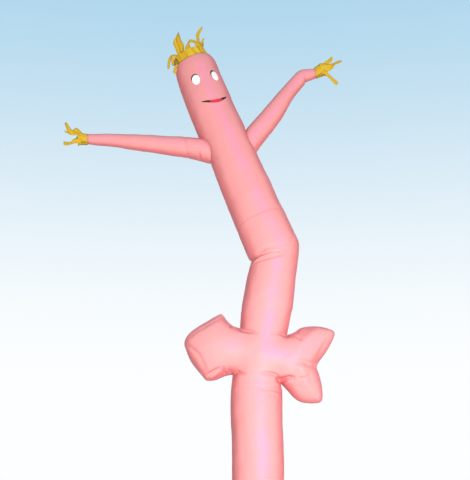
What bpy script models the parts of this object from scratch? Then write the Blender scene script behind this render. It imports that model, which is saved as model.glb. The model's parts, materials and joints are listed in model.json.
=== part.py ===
"""Inflated one-legged tube dancer, about 6.1 m tall, standing on its open hem.

Every panel is a closed shell of thin coated nylon in the shape it takes when the
air is on.  Metres, +Z up.  The dancer faces -Y, +X is on the viewer's right, and
"left" and "right" in a name are the viewer's.  The origin is on the ground under
the middle of the whole outline.  The leg bows a little, so that the hem ring
stands under the dancer's weight.
"""
import math
from typing import NamedTuple

import bmesh
import bpy
import numpy as np
from mathutils import Vector
from mathutils.geometry import delaunay_2d_cdt

# Driving sizes
BASE = Vector((0.485, -0.100, 0.0))   # where the tables' zero is: below the arrow's middle
CLOTH = 0.0025                        # thickness of one layer of coated nylon
HEM_EXTRA = 0.0020                    # how far the turned-up hem stands out
HEM_HEIGHT = 0.060
SEAM_GAP = 0.0004                     # between panels that are sewn to each other
TRIM_GAP = 0.0006                     # round a sleeve where it meets the body
TUBE_SIDES = 28
ARM_SIDES = 18
CUFF_SIDES = 16
FOLD_TURN = math.radians(12)          # a crease is deepest this far round from the side

PINK = "F49CA0"
YELLOW = "EDC233"
WHITE = "F7F7F5"
BROWN = "4D2428"
RED = "E4484B"


class Section(NamedTuple):
    """A cut through a tube: its two side edges as seen from the front, and its depth."""
    left_x: float
    left_z: float
    right_x: float
    right_z: float
    back: float      # how far the middle lies behind the arrow's middle
    depth: float     # half the size from front to back
    fold: float = 0.0   # how deep a crease runs round the left side, or the right if negative


# The leg from the ground to the arrow
LEG = (
    Section(-0.3365, 0.000, 0.1205, 0.000, 0.042, 0.2285),
    Section(-0.3365, 0.080, 0.1205, 0.080, 0.042, 0.2285),
    Section(-0.3000, 0.480, 0.1555, 0.480, 0.029, 0.2278),
    Section(-0.2600, 0.920, 0.1910, 0.920, 0.014, 0.2255),
    Section(-0.2340, 1.350, 0.2120, 1.350, 0.005, 0.2230),
    Section(-0.2215, 1.750, 0.2230, 1.750, 0.000, 0.2225),
    Section(-0.2300, 2.120, 0.2180, 2.120, 0.0, 0.2240),
    Section(-0.2340, 2.300, 0.2160, 2.300, 0.0, 0.2245),
    Section(-0.2310, 2.460, 0.2110, 2.460, 0.0, 0.2205),
)
BASE_ROWS = 3      # the first panel ends at this row of LEG

# From the arrow over the bend to the rim of the head
BODY = (
    Section(-0.144, 3.140, 0.306, 3.140, 0.000, 0.2240),
    Section(-0.136, 3.220, 0.320, 3.185, 0.000, 0.2260),
    Section(-0.120, 3.300, 0.331, 3.275, 0.000, 0.2250),
    Section(-0.102, 3.390, 0.344, 3.385, 0.000, 0.2225),
    Section(-0.083, 3.475, 0.358, 3.505, 0.000, 0.2215),
    Section(-0.068, 3.540, 0.371, 3.630, 0.001, 0.2230),
    Section(-0.062, 3.580, 0.379, 3.705, 0.002, 0.2280, 0.002),
    Section(-0.048, 3.609, 0.381, 3.765, 0.004, 0.2280, 0.032),
    Section(-0.072, 3.634, 0.371, 3.812, 0.006, 0.2340, 0.002),
    Section(-0.100, 3.700, 0.344, 3.880, 0.012, 0.2360),
    Section(-0.139, 3.800, 0.300, 3.980, 0.020, 0.2350),
    Section(-0.177, 3.900, 0.260, 4.080, 0.030, 0.2350),
    Section(-0.240, 4.070, 0.185, 4.250, 0.048, 0.2310),
    Section(-0.330, 4.315, 0.085, 4.490, 0.073, 0.2255),
    Section(-0.415, 4.545, -0.008, 4.710, 0.098, 0.2205),
    Section(-0.504, 4.766, -0.095, 4.930, 0.120, 0.2180),
    Section(-0.613, 5.036, -0.211, 5.204, 0.149, 0.2165),
    Section(-0.662, 5.168, -0.264, 5.335, 0.163, 0.2150),
    Section(-0.725, 5.352, -0.332, 5.510, 0.182, 0.2110),
    Section(-0.756, 5.455, -0.366, 5.608, 0.192, 0.2080),
    Section(-0.770, 5.520, -0.393, 5.670, 0.199, 0.2010),
    Section(-0.774, 5.560, -0.430, 5.713, 0.203, 0.1890),
    Section(-0.772, 5.576, -0.452, 5.720, 0.206, 0.1770),
)
WAIST_ROWS = 11     # the panel with the bend ends at this row of BODY

# Arms, each from inside the body to its cuff, the upper edge first
LEFT_ARM = (
    Section(-0.236, 4.536, -0.288, 4.826, 0.110, 0.1450),
    Section(-0.458, 4.588, -0.500, 4.826, 0.108, 0.1200),
    Section(-0.638, 4.638, -0.670, 4.840, 0.108, 0.1030),
    Section(-0.868, 4.674, -0.892, 4.856, 0.109, 0.0915),
    Section(-1.104, 4.714, -1.110, 4.865, 0.110, 0.0757),
    Section(-1.350, 4.750, -1.356, 4.876, 0.112, 0.0635),
    Section(-1.586, 4.776, -1.588, 4.878, 0.115, 0.0508),
)
SHOULDER_ROWS = 2   # the shoulder piece ends at this row of LEFT_ARM
RIGHT_ARM = (
    Section(-0.286, 4.712, -0.078, 4.560, 0.110, 0.1280),
    Section(-0.134, 4.880, 0.038, 4.742, 0.120, 0.1115),
    Section(0.086, 5.140, 0.240, 5.032, 0.140, 0.0940),
    Section(0.220, 5.322, 0.350, 5.234, 0.160, 0.0790),
    Section(0.330, 5.450, 0.442, 5.368, 0.178, 0.0690),
    Section(0.392, 5.528, 0.480, 5.420, 0.186, 0.0670),
    Section(0.430, 5.560, 0.490, 5.436, 0.189, 0.0660, -0.010),
    Section(0.476, 5.576, 0.504, 5.452, 0.190, 0.0600),
    Section(0.570, 5.588, 0.592, 5.486, 0.190, 0.0510),
)

# The arrow's outline seen from the front, round it from its lower left corner
ARROW_HEAD = (
    (-0.217, 2.590), (-0.283, 2.577), (-0.363, 2.543), (-0.443, 2.537),
    (-0.478, 2.572), (-0.580, 2.698), (-0.627, 2.805), (-0.643, 2.855),
    (-0.633, 2.905), (-0.578, 2.972), (-0.467, 3.044), (-0.332, 3.124),
    (-0.304, 3.116), (-0.263, 3.064), (-0.217, 3.020), (-0.152, 2.997),
)
ARROW_TAIL = (
    (0.264, 2.936), (0.326, 2.961), (0.377, 2.997), (0.449, 3.013),
    (0.530, 3.015), (0.622, 2.997), (0.684, 2.964), (0.672, 2.905),
    (0.606, 2.788), (0.522, 2.667), (0.540, 2.587), (0.563, 2.480),
    (0.560, 2.366), (0.495, 2.341), (0.386, 2.349), (0.317, 2.388),
    (0.264, 2.448), (0.205, 2.512),
)
OUTLINE_STEP = 0.060     # between the points on the arrow's edge
EDGE_LOOPS = (0.014, 0.048)   # rows of points inside the edge, where the cloth curves most
GRID_STEP = 0.085        # between the points in the middle
EVEN_MERGE = 0.62        # part of a step below which two points are too near
BAR_POINTS = 7           # on each line where the arrow's edge crosses the tube
BLEND = 7                # how tightly the arrow and the tube run into each other
ARROW_FULLNESS = 1.04

# Face: angles from straight ahead towards the viewer's right, rows counted along BODY
class Patch(NamedTuple):
    turn: float      # degrees round the head
    row: float
    half_width: float
    half_height: float


EYES = {"left": Patch(-14.5, 17.66, 0.0390, 0.050), "right": Patch(37.7, 17.60, 0.0340, 0.050)}
EYE_BACKING_SHIFT = (-0.005, 0.085)    # metres to the left, rows up
PATCH_CLOTH = 0.0014
PATCH_GAP = 0.0005
PATCH_COLUMNS = 12

MOUTH_TURNS = (-21.4, 46.1)
MOUTH_ROW = 16.07
MOUTH_SAG = 0.16         # rows that the middle hangs below the corners
MOUTH_HALF = 0.0125
LIPS = (0.28, 0.73)      # the red part, as shares of the mouth's length


class Knot(NamedTuple):
    """A place that a ribbon runs through, from the middle of the band that it grows from."""
    across: float
    front: float
    along: float
    width: float
    turn: float      # degrees that the ribbon's face is turned round its length


BAND_HEIGHT = 0.012      # of the narrow band that a row of strips is fused to
CROWN_SINK = 0.012       # how far the hair's crown reaches into the head
CROWN_HEIGHT = 0.080
CROWN_TAPER = 0.014      # how much narrower the crown's edge is than the rim
# The hair's strips by the side of the ring that they grow from, counted from the front
HAIR = {
    1: (Knot(0.054, 0.140, 0.112, 0.040, 0), Knot(0.074, 0.132, 0.134, 0.034, 0),
        Knot(0.100, 0.124, 0.126, 0.030, 0), Knot(0.112, 0.116, 0.104, 0.022, 0)),
    4: (Knot(0.126, 0.078, 0.108, 0.054, -10), Knot(0.122, 0.072, 0.132, 0.034, -20)),
    5: (Knot(0.142, 0.042, 0.110, 0.040, -35), Knot(0.134, 0.045, 0.158, 0.036, -62),
        Knot(0.140, 0.050, 0.206, 0.036, -68), Knot(0.166, 0.052, 0.246, 0.034, -68),
        Knot(0.234, 0.055, 0.280, 0.014, -68)),
    6: (Knot(0.152, 0.010, 0.108, 0.038, -30), Knot(0.168, 0.012, 0.150, 0.034, -62),
        Knot(0.202, 0.014, 0.188, 0.016, -70)),
    9: (Knot(0.126, -0.080, 0.125, 0.040, 0), Knot(0.136, -0.090, 0.165, 0.018, 10)),
    12: (Knot(0.060, -0.142, 0.130, 0.042, 0), Knot(0.070, -0.162, 0.170, 0.032, 0),
         Knot(0.078, -0.192, 0.180, 0.014, 0)),
    16: (Knot(-0.066, -0.138, 0.126, 0.042, 0), Knot(-0.080, -0.154, 0.160, 0.020, 0)),
    19: (Knot(-0.150, -0.050, 0.110, 0.040, 0), Knot(-0.190, -0.060, 0.110, 0.034, 0),
         Knot(-0.215, -0.064, 0.060, 0.030, 0), Knot(-0.222, -0.062, -0.010, 0.014, 0)),
    22: (Knot(-0.156, 0.052, 0.098, 0.036, 0), Knot(-0.172, 0.062, 0.086, 0.034, 20),
         Knot(-0.180, 0.068, 0.048, 0.032, 30), Knot(-0.180, 0.070, 0.010, 0.018, 30)),
    24: (Knot(-0.118, 0.096, 0.108, 0.038, 0), Knot(-0.158, 0.110, 0.112, 0.038, 0),
         Knot(-0.198, 0.118, 0.086, 0.036, 0), Knot(-0.232, 0.120, 0.020, 0.028, 0)),
    26: (Knot(-0.050, 0.128, 0.118, 0.086, 0), Knot(-0.050, 0.112, 0.176, 0.088, 10),
         Knot(-0.022, 0.102, 0.236, 0.056, 20), Knot(0.010, 0.094, 0.296, 0.010, 26)),
}
CUFF_LENGTH = 0.080
CUFF_END = 0.0520        # the cuff's radius at the fingers
LEFT_LIFT = 0.004        # how far the cuff's end is moved across the arm
RIGHT_LIFT = -0.020
LEFT_FINGERS = {
    4: (Knot(0.046, 0.004, 0.030, 0.030, -50), Knot(0.042, 0.010, 0.064, 0.032, -75),
        Knot(0.072, 0.012, 0.094, 0.034, -80), Knot(0.150, 0.014, 0.124, 0.028, -80)),
    2: (Knot(0.040, 0.036, 0.020, 0.026, 0), Knot(0.072, 0.042, 0.034, 0.026, 0),
        Knot(0.092, 0.040, 0.018, 0.016, 0)),
    5: (Knot(0.044, -0.016, 0.040, 0.022, -50), Knot(0.050, -0.018, 0.092, 0.022, -70),
        Knot(0.070, -0.018, 0.132, 0.012, -70)),
    12: (Knot(-0.040, 0.006, 0.030, 0.034, 50), Knot(-0.050, 0.014, 0.070, 0.034, 75),
         Knot(-0.056, 0.016, 0.142, 0.032, 80)),
    14: (Knot(-0.030, 0.040, 0.024, 0.028, 0), Knot(-0.026, 0.048, 0.048, 0.012, 0)),
    8: (Knot(-0.002, -0.052, 0.030, 0.026, 0), Knot(0.000, -0.062, 0.060, 0.020, 0)),
}
RIGHT_FINGERS = {
    12: (Knot(-0.056, 0.008, 0.030, 0.040, 50), Knot(-0.078, 0.014, 0.068, 0.036, 70),
         Knot(-0.114, 0.018, 0.122, 0.008, 70)),
    15: (Knot(-0.010, 0.046, 0.040, 0.052, 0), Knot(0.000, 0.034, 0.080, 0.052, 0),
         Knot(-0.018, 0.028, 0.112, 0.034, 0), Knot(-0.044, 0.024, 0.198, 0.024, 0)),
    4: (Knot(0.062, 0.008, 0.022, 0.036, -60), Knot(0.110, 0.014, 0.050, 0.042, -75),
        Knot(0.180, 0.018, 0.094, 0.040, -80)),
    1: (Knot(0.034, 0.048, 0.022, 0.030, 0), Knot(0.040, 0.050, 0.046, 0.012, 0)),
    8: (Knot(0.000, -0.054, 0.034, 0.026, 0), Knot(-0.006, -0.064, 0.076, 0.022, 0)),
    10: (Knot(-0.044, -0.040, 0.034, 0.026, 0), Knot(-0.056, -0.048, 0.066, 0.014, 0)),
}


def linear(hex_colour):
    """An sRGB hex colour as Blender's linear values."""
    parts = [int(hex_colour[i:i + 2], 16) / 255 for i in (0, 2, 4)]
    return [c / 12.92 if c <= 0.04045 else ((c + 0.055) / 1.055) ** 2.4 for c in parts] + [1.0]


def cloth(name, colour, roughness=0.55):
    """A plain matt cloth."""
    material = bpy.data.materials.new(name)
    material.use_nodes = True
    shader = material.node_tree.nodes["Principled BSDF"]
    shader.inputs["Base Color"].default_value = linear(colour)
    shader.inputs["Roughness"].default_value = roughness
    shader.inputs["Metallic"].default_value = 0.0
    return material


def new_object(name, verts, faces, material=None, smooth_angle=40.0):
    """A mesh object with its faces smooth up to an angle."""
    mesh = bpy.data.meshes.new(name)
    mesh.from_pydata([tuple(v) for v in verts], [], faces)
    mesh.validate()
    mesh.shade_smooth()
    mesh.set_sharp_from_angle(angle=math.radians(smooth_angle))
    if material:
        mesh.materials.append(material)
    item = bpy.data.objects.new(name, mesh)
    bpy.context.scene.collection.objects.link(item)
    return item


def curve_point(ends, i, t):
    """The Catmull-Rom curve's value between rows i and i + 1."""
    a, b, c, d = ends[i - 1:i + 3]
    return 0.5 * (2 * b + (c - a) * t + (2 * a - 5 * b + 4 * c - d) * t ** 2
                  + (3 * b - a - 3 * c + d) * t ** 3)


def row_at(rows, place):
    """A table's values at a place between its rows."""
    table = np.array([tuple(r) for r in rows])
    ends = np.vstack([2 * table[0] - table[1], table, 2 * table[-1] - table[-2]])
    i = min(int(place), len(rows) - 2)
    return Section(*curve_point(ends, i + 1, place - i))


class Frame(NamedTuple):
    """Where a section lies: its middle, and its directions across, to the front and along."""
    middle: Vector
    across: Vector
    front: Vector
    along: Vector
    half_width: float
    depth: float
    fold: float


def frame_of(section, before, after):
    """The frame of a section that lies between two others."""
    left = Vector((section.left_x, section.back, section.left_z))
    right = Vector((section.right_x, section.back, section.right_z))
    middle = (left + right) / 2
    run = Vector((0, 0, 0))
    for sign, other in ((-1, before), (1, after)):
        if other is not None:
            place = Vector(((other.left_x + other.right_x) / 2, other.back,
                            (other.left_z + other.right_z) / 2))
            run += sign * (place - middle)
    across = (right - left).normalized()
    front = across.cross(run).normalized()
    along = front.cross(across).normalized()
    return Frame(middle + BASE, across, front, along, (right - left).length / 2,
                 section.depth, section.fold)


def frames_of(rows):
    """A frame for each row."""
    padded = [None, *rows, None]
    return [frame_of(rows[i], padded[i], padded[i + 2]) for i in range(len(rows))]


def ring_point(frame, angle, inset=0.0, shift=0.0):
    """A point on a section; the angle runs from the front to the viewer's right."""
    side = math.sin(angle)
    way = math.copysign(1.0, frame.fold)
    fold = abs(frame.fold) * max(0.0, -way * math.sin(angle + way * FOLD_TURN)) ** 1.5
    width = frame.half_width - inset - fold
    depth = frame.depth - inset - fold
    return (frame.middle + frame.across * (width * side)
            + frame.front * (depth * math.cos(angle)) + frame.along * shift)


def ring(frame, sides, inset=0.0, shift=0.0):
    return [ring_point(frame, 2 * math.pi * k / sides, inset, shift) for k in range(sides)]


def shell(outer, inner):
    """Points and faces of a closed wall between two stacks of rings, from one end to the other."""
    sides = len(outer[0])
    verts = [p for r in outer + inner for p in r]
    shift = len(outer) * sides
    faces = []
    for r in range(len(outer) - 1):
        for k in range(sides):
            a, b = r * sides + k, r * sides + (k + 1) % sides
            faces.append((a, b, b + sides, a + sides))
            faces.append((shift + a, shift + a + sides, shift + b + sides, shift + b))
    last = (len(outer) - 1) * sides
    for k in range(sides):
        n = (k + 1) % sides
        faces.append((k, shift + k, shift + n, n))
        faces.append((last + k, last + n, shift + last + n, shift + last + k))
    return verts, faces


def facing_out(verts, faces):
    """The faces, turned over if the closed mesh they make is inside out."""
    volume = 0.0
    for face in faces:
        first = verts[face[0]]
        for b, c in zip(face[1:], face[2:]):
            volume += first.dot(verts[b].cross(verts[c]))
    return faces if volume > 0 else [tuple(reversed(f)) for f in faces]


def tube(name, frames, sides, material, start_gap=0.0, end_gap=0.0, wall=CLOTH, hem=False):
    """A hollow length of cloth tube through the frames, open at both ends."""
    outer = [ring(f, sides) for f in frames]
    inner = [ring(f, sides, wall) for f in frames]
    outer[0] = ring(frames[0], sides, 0.0, start_gap)
    inner[0] = ring(frames[0], sides, wall, start_gap)
    outer[-1] = ring(frames[-1], sides, 0.0, -end_gap)
    inner[-1] = ring(frames[-1], sides, wall, -end_gap)
    if hem:
        outer[0] = ring(frames[0], sides, -HEM_EXTRA)
        outer.insert(1, ring(frames[0], sides, -HEM_EXTRA, HEM_HEIGHT))
        outer.insert(2, ring(frames[0], sides, 0.0, HEM_HEIGHT + HEM_EXTRA))
        inner.insert(1, ring(frames[0], sides, wall, HEM_HEIGHT))
        inner.insert(2, ring(frames[0], sides, wall, HEM_HEIGHT + HEM_EXTRA))
    verts, faces = shell(outer, inner)
    return new_object(name, verts, facing_out(verts, faces), material)


def plug(name, frames, sides, inset):
    """A solid that fills a tube, used only to cut others."""
    rings = [ring(f, sides, inset) for f in frames]
    verts = [p for r in rings for p in r]
    faces = []
    for r in range(len(rings) - 1):
        for k in range(sides):
            a, b = r * sides + k, r * sides + (k + 1) % sides
            faces.append((a, b, b + sides, a + sides))
    last = (len(rings) - 1) * sides
    faces.append(tuple(reversed(range(sides))))
    faces.append(tuple(range(last, last + sides)))
    item = new_object(name, verts, facing_out(verts, faces))
    item.hide_render = True
    item.display_type = "WIRE"
    return item


def cut(item, cutter):
    """Take the cutter's shape out of an object."""
    step = item.modifiers.new("cut", "BOOLEAN")
    step.operation = "DIFFERENCE"
    step.solver = "EXACT"
    step.object = cutter


def spaced_outline(points, step):
    """Points about a step apart on a smooth open curve through the given ones."""
    table = np.array(points)
    ends = np.vstack([2 * table[0] - table[1], table, 2 * table[-1] - table[-2]])
    fine = [curve_point(ends, i, k / 12) for i in range(1, len(ends) - 2) for k in range(12)]
    fine = np.array(fine + [table[-1]])
    length = np.concatenate([[0], np.cumsum(np.linalg.norm(np.diff(fine, axis=0), axis=1))])
    count = max(2, round(length[-1] / step))
    places = np.linspace(0, length[-1], count + 1)
    return np.column_stack([np.interp(places, length, fine[:, i]) for i in (0, 1)])


def end_line(section):
    """The points of a tube's end seen from the front, at its facets' corners."""
    half = TUBE_SIDES // 2
    middle = (section.left_x + section.right_x) / 2
    width = (section.right_x - section.left_x) / 2
    turns = [math.pi * (k / half - 0.5) for k in range(half + 1)]
    return np.array([(middle + width * math.sin(a), section.left_z) for a in turns])


def arrow_outline():
    """The closed outline of arrow and tube, its points on the tube's ends, and its corners."""
    low, high = end_line(LEG[-1]), end_line(BODY[0])[::-1]
    tail = spaced_outline(ARROW_TAIL, OUTLINE_STEP)[::-1]
    head = spaced_outline(ARROW_HEAD, OUTLINE_STEP)[::-1]
    points = np.vstack([low, tail, high, head])
    on_end = np.zeros(len(points), dtype=int)
    on_end[:len(low)] = 1
    start = len(low) + len(tail)
    on_end[start:start + len(high)] = 2
    corners = (len(points) - 1, len(low), start - 1, start + len(high))
    return points, on_end, corners


def inside(points, polygon):
    """Which points lie inside a polygon."""
    x, z = points[:, 0], points[:, 1]
    result = np.zeros(len(points), dtype=bool)
    for (ax, az), (bx, bz) in zip(polygon, np.roll(polygon, -1, axis=0)):
        crosses = (az > z) != (bz > z)
        if abs(bz - az) > 1e-9:
            result ^= crosses & (x < (bx - ax) * (z - az) / (bz - az) + ax)
    return result


def edge_distance(points, polygon):
    """How far each point is from the polygon's edge."""
    best = np.full(len(points), np.inf)
    for a, b in zip(polygon, np.roll(polygon, -1, axis=0)):
        run = b - a
        share = np.clip(((points - a) @ run) / max(run @ run, 1e-12), 0, 1)
        best = np.minimum(best, np.linalg.norm(points - a - share[:, None] * run, axis=1))
    return best


def thinned(points, kept, gap):
    """The points that are at least a gap from the kept ones and from each other."""
    chosen = list(kept)
    out = []
    for p in points:
        if np.min(np.linalg.norm(np.array(chosen) - p, axis=1)) >= gap:
            chosen.append(p)
            out.append(p)
    return np.array(out).reshape(-1, 2)


def arrow_points(outline):
    """Points inside the outline: rows along its edge, then an even grid."""
    inner = np.empty((0, 2))
    run = np.roll(outline, -1, axis=0) - np.roll(outline, 1, axis=0)
    inward = np.column_stack([-run[:, 1], run[:, 0]])
    inward /= np.linalg.norm(inward, axis=1)[:, None]
    for offset in EDGE_LOOPS:
        loop = outline + inward * offset
        loop = loop[inside(loop, outline)]
        loop = loop[edge_distance(loop, outline) > 0.9 * offset]
        inner = np.vstack([inner, thinned(loop, inner if len(inner) else outline[:1] + 9,
                                          EVEN_MERGE * OUTLINE_STEP if len(inner) else 0.02)])
    low, high = outline.min(axis=0), outline.max(axis=0)
    grid = []
    row_step = GRID_STEP * math.sqrt(3) / 2
    for r in range(int((high[1] - low[1]) / row_step) + 1):
        for c in range(int((high[0] - low[0]) / GRID_STEP) + 1):
            grid.append((low[0] + (c + 0.5 * (r % 2)) * GRID_STEP, low[1] + r * row_step))
    grid = np.array(grid)
    grid = grid[inside(grid, outline)]
    grid = grid[edge_distance(grid, outline) > EDGE_LOOPS[-1] + 0.4 * GRID_STEP]
    return np.vstack([inner, thinned(grid, inner, EVEN_MERGE * GRID_STEP)])


def triangles(points, count, bars):
    """Triangles of the outline's inside, none of them with all its corners on the edge."""
    while True:
        edges = [(i, (i + 1) % count) for i in range(count)] + bars
        made = delaunay_2d_cdt([Vector(p) for p in points], edges, [list(range(count))], 1, 1e-7)
        faces = [tuple(f) for f in made[2]]
        if len(made[0]) != len(points):
            raise RuntimeError("the outline crosses itself")
        flat = [f for f in faces if max(f) < count]
        if not flat:
            return points, faces
        points = np.vstack([points, [np.mean(points[list(f)], axis=0) for f in flat]])


def air_depth(points, faces, fixed):
    """How far air blows a panel out: a membrane's height, drawn so that a long strip is round."""
    total = len(points)
    stiffness = np.zeros((total, total))
    load = np.zeros(total)
    for face in faces:
        p = points[list(face)]
        sides = np.array([p[2] - p[1], p[0] - p[2], p[1] - p[0]])
        area = abs(sides[0][0] * sides[1][1] - sides[0][1] * sides[1][0]) / 2
        stiffness[np.ix_(face, face)] += sides @ sides.T / (4 * area)
        load[list(face)] += area / 3
    free = np.array(sorted({i for f in faces for i in f} - set(fixed)))
    height = np.zeros(total)
    height[free] = np.linalg.solve(stiffness[np.ix_(free, free)], load[free])
    return np.sqrt(2 * np.maximum(height, 0))


def tube_depth(points):
    """How far the tube behind the arrow reaches to the front, seen at each point."""
    low, high = LEG[-1], BODY[0]
    share = (points[:, 1] - low.left_z) / (high.left_z - low.left_z)
    left = low.left_x + share * (high.left_x - low.left_x)
    right = low.right_x + share * (high.right_x - low.right_x)
    depth = low.depth + share * (high.depth - low.depth)
    across = (2 * points[:, 0] - left - right) / (right - left)
    return depth * np.sqrt(np.clip(1 - across ** 2, 0, None))


def arrow_sheet():
    """The points of an arrow panel seen from the front, its triangles, and each point's depth."""
    outline, on_end, corners = arrow_outline()
    count = len(outline)
    low_left, low_right, high_right, high_left = (outline[i] for i in corners)
    low_bar = np.linspace(low_left, low_right, BAR_POINTS + 2)[1:-1]
    high_bar = np.linspace(high_left, high_right, BAR_POINTS + 2)[1:-1]
    bars = np.vstack([low_bar, high_bar])
    filled = thinned(arrow_points(outline), bars, EVEN_MERGE * EDGE_LOOPS[-1])
    points = np.vstack([outline, bars, filled])
    low = [corners[0], *range(count, count + BAR_POINTS), corners[1]]
    high = [corners[3], *range(count + BAR_POINTS, count + 2 * BAR_POINTS), corners[2]]
    lines = list(zip(low, low[1:])) + list(zip(high, high[1:]))
    points, faces = triangles(points, count, lines)
    tail = list(range(corners[1], corners[2] + 1))
    head = list(range(corners[3], corners[0] + 1))
    arrow = points[tail + high[::-1][1:] + head[1:] + low[1:-1]]
    middles = np.array([points[list(f)].mean(axis=0) for f in faces])
    own = [f for f, held in zip(faces, inside(middles, arrow)) if held]
    blown = air_depth(points, own, set(tail + head + low + high)) * ARROW_FULLNESS
    depth = (blown ** BLEND + tube_depth(points) ** BLEND) ** (1 / BLEND)
    edge = np.arange(count)[on_end == 0]
    depth[edge] = 0.0
    return outline, on_end, points, faces, depth


def arrow_panel(name, side, material):
    """The front (side -1) or back (side 1) panel of the arrow with the tube's part between."""
    outline, on_end, points, faces, depth = arrow_sheet()
    count = len(outline)
    outer = [Vector((p[0], side * (d + SEAM_GAP / 2), p[1])) for p, d in zip(points, depth)]
    normals = [Vector((0, 0, 0)) for _ in outer]
    for face in faces:
        a, b, c = (outer[i] for i in face)
        turn = (b - a).cross(c - a)
        turn = turn if turn.y * side > 0 else -turn
        for i in face:
            normals[i] += turn
    inner = []
    for i, normal in enumerate(normals):
        if i < count and on_end[i]:
            normal = Vector((normal.x, normal.y, 0))
        if i < count and depth[i] < 1e-6:
            normal = edge_normal(outline, on_end, i)
        inner.append(outer[i] - normal.normalized() * CLOTH)
    for i in np.flatnonzero(on_end):
        shift = SEAM_GAP / 2 * (1 if on_end[i] == 1 else -1)
        outer[i].z += shift
        inner[i].z += shift
    total = len(outer)
    skin = list(faces) + [tuple(reversed([i + total for i in f])) for f in faces]
    first = outer[faces[0][0]], outer[faces[0][1]], outer[faces[0][2]]
    same = (first[1] - first[0]).cross(first[2] - first[0]).y * side > 0
    skin = skin if same else [tuple(reversed(f)) for f in skin]
    rim = []
    for i in range(count):
        n = (i + 1) % count
        rim.append((n, i, i + total, n + total) if same == edge_runs(faces, i, n)
                   else (i, n, n + total, i + total))
    verts = [v + BASE for v in outer + inner]
    return new_object(name, verts, facing_out(verts, skin + rim), material, 50.0)


def edge_runs(faces, a, b):
    """Whether a face runs from a to b."""
    for face in faces:
        if (a, b) in zip(face, face[1:] + face[:1]):
            return True
    return False


def edge_normal(outline, on_end, i):
    """The direction out of the outline at one of its points, level at the tube's ends."""
    count = len(outline)
    if on_end[i]:
        return Vector((-1.0 if outline[i][0] < outline.mean(axis=0)[0] else 1.0, 0, 0))
    run = outline[(i + 1) % count] - outline[(i - 1) % count]
    return Vector((run[1], 0, -run[0]))


def surface_point(turn, row, lift):
    """A point over the body's outside, by its angle and its place along BODY."""
    place = row_at(BODY, row)
    frame = frame_of(place, row_at(BODY, row - 0.25), row_at(BODY, row + 0.25))
    return ring_point(frame, turn, -lift)


def patch(name, columns, lift, material):
    """A thin piece of cloth on the head through a grid of (angle, row) places."""
    over = [[surface_point(a, r, lift + PATCH_CLOTH) for a, r in column] for column in columns]
    under = [[surface_point(a, r, lift) for a, r in column] for column in columns]
    high = len(columns[0])
    verts = [p for column in over + under for p in column]
    shift = len(columns) * high
    faces = []
    for c in range(len(columns) - 1):
        for k in range(high - 1):
            a = c * high + k
            faces.append((a, a + high, a + high + 1, a + 1))
            faces.append((shift + a, shift + a + 1, shift + a + high + 1, shift + a + high))
    edge = [c * high for c in range(len(columns))]
    edge += [(len(columns) - 1) * high + k for k in range(1, high)]
    edge += [c * high + high - 1 for c in reversed(range(len(columns) - 1))]
    edge += [k for k in reversed(range(1, high - 1))]
    for a, b in zip(edge, edge[1:] + edge[:1]):
        faces.append((b, a, shift + a, shift + b))
    return new_object(name, verts, facing_out(verts, faces), material)


def row_length(row):
    """Metres along the front of the body for one row at this place."""
    return (surface_point(0, row + 0.5, 0) - surface_point(0, row - 0.5, 0)).length


def eye_columns(eye, move=(0.0, 0.0), grow=1.0):
    """An ellipse on the head as columns of places."""
    radius = row_at(BODY, eye.row).depth
    unit = row_length(eye.row)
    columns = []
    for c in range(PATCH_COLUMNS + 1):
        place = -math.cos(math.pi * c / PATCH_COLUMNS)
        tall = max(0.06, math.sin(math.pi * c / PATCH_COLUMNS)) * eye.half_height * grow / unit
        turn = math.radians(eye.turn) + (place * eye.half_width * grow + move[0]) / radius
        columns.append([(turn, eye.row + move[1] + tall * k) for k in (-1, -0.5, 0, 0.5, 1)])
    return columns


def mouth_columns(start, end, grow, count):
    """A stretch of the smile, from start to end as shares of its length."""
    unit = row_length(MOUTH_ROW)
    columns = []
    for c in range(count + 1):
        share = start + (end - start) * c / count
        turn = math.radians(MOUTH_TURNS[0] + share * (MOUTH_TURNS[1] - MOUTH_TURNS[0]))
        row = MOUTH_ROW - MOUTH_SAG * math.sin(math.pi * share)
        tall = MOUTH_HALF * grow * max(0.25, math.sin(math.pi * share) ** 0.6) / unit
        columns.append([(turn, row + tall * k) for k in (-1, 0, 1)])
    return columns


def ribbon_rings(root, frame, knots, steps):
    """Four-cornered sections of a ribbon that grows from a root face."""
    start = sum(root, Vector()) / 4
    wide = (root[1] - root[0]).normalized()
    rows = [np.array([*start, (root[1] - root[0]).length, 0.0])]
    rows.append(rows[0] + np.array([*(frame.along * 0.012), 0, 0]))
    for knot in knots:
        place = (frame.middle + frame.across * knot.across + frame.front * knot.front
                 + frame.along * knot.along)
        rows.append(np.array([*place, knot.width, math.radians(knot.turn)]))
    table = np.array(rows)
    ends = np.vstack([2 * table[0] - table[1], table, 2 * table[-1] - table[-2]])
    places = [(1, 1.0)] + [(i, k / steps) for i in range(2, len(ends) - 2)
                           for k in range(1, steps + 1)]
    sections = []
    last = start
    for i, t in places:
        x, y, z, width, turn = curve_point(ends, i, t)
        middle = Vector((x, y, z))
        run = (middle - last).normalized()
        wide = (wide - run * wide.dot(run)).normalized()
        thick = run.cross(wide)
        face = wide * math.cos(turn) + thick * math.sin(turn)
        normal = run.cross(face)
        half = face * width / 2
        layer = normal * CLOTH / 2
        sections.append((middle - half + layer, middle + half + layer,
                         middle + half - layer, middle - half - layer))
        last = middle
    return sections


def narrowed(frame, amount):
    return frame._replace(half_width=frame.half_width - amount, depth=frame.depth - amount)


def moved(frame, distance):
    """The frame, further along the tube."""
    return frame._replace(middle=frame.middle + frame.along * distance)


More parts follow.
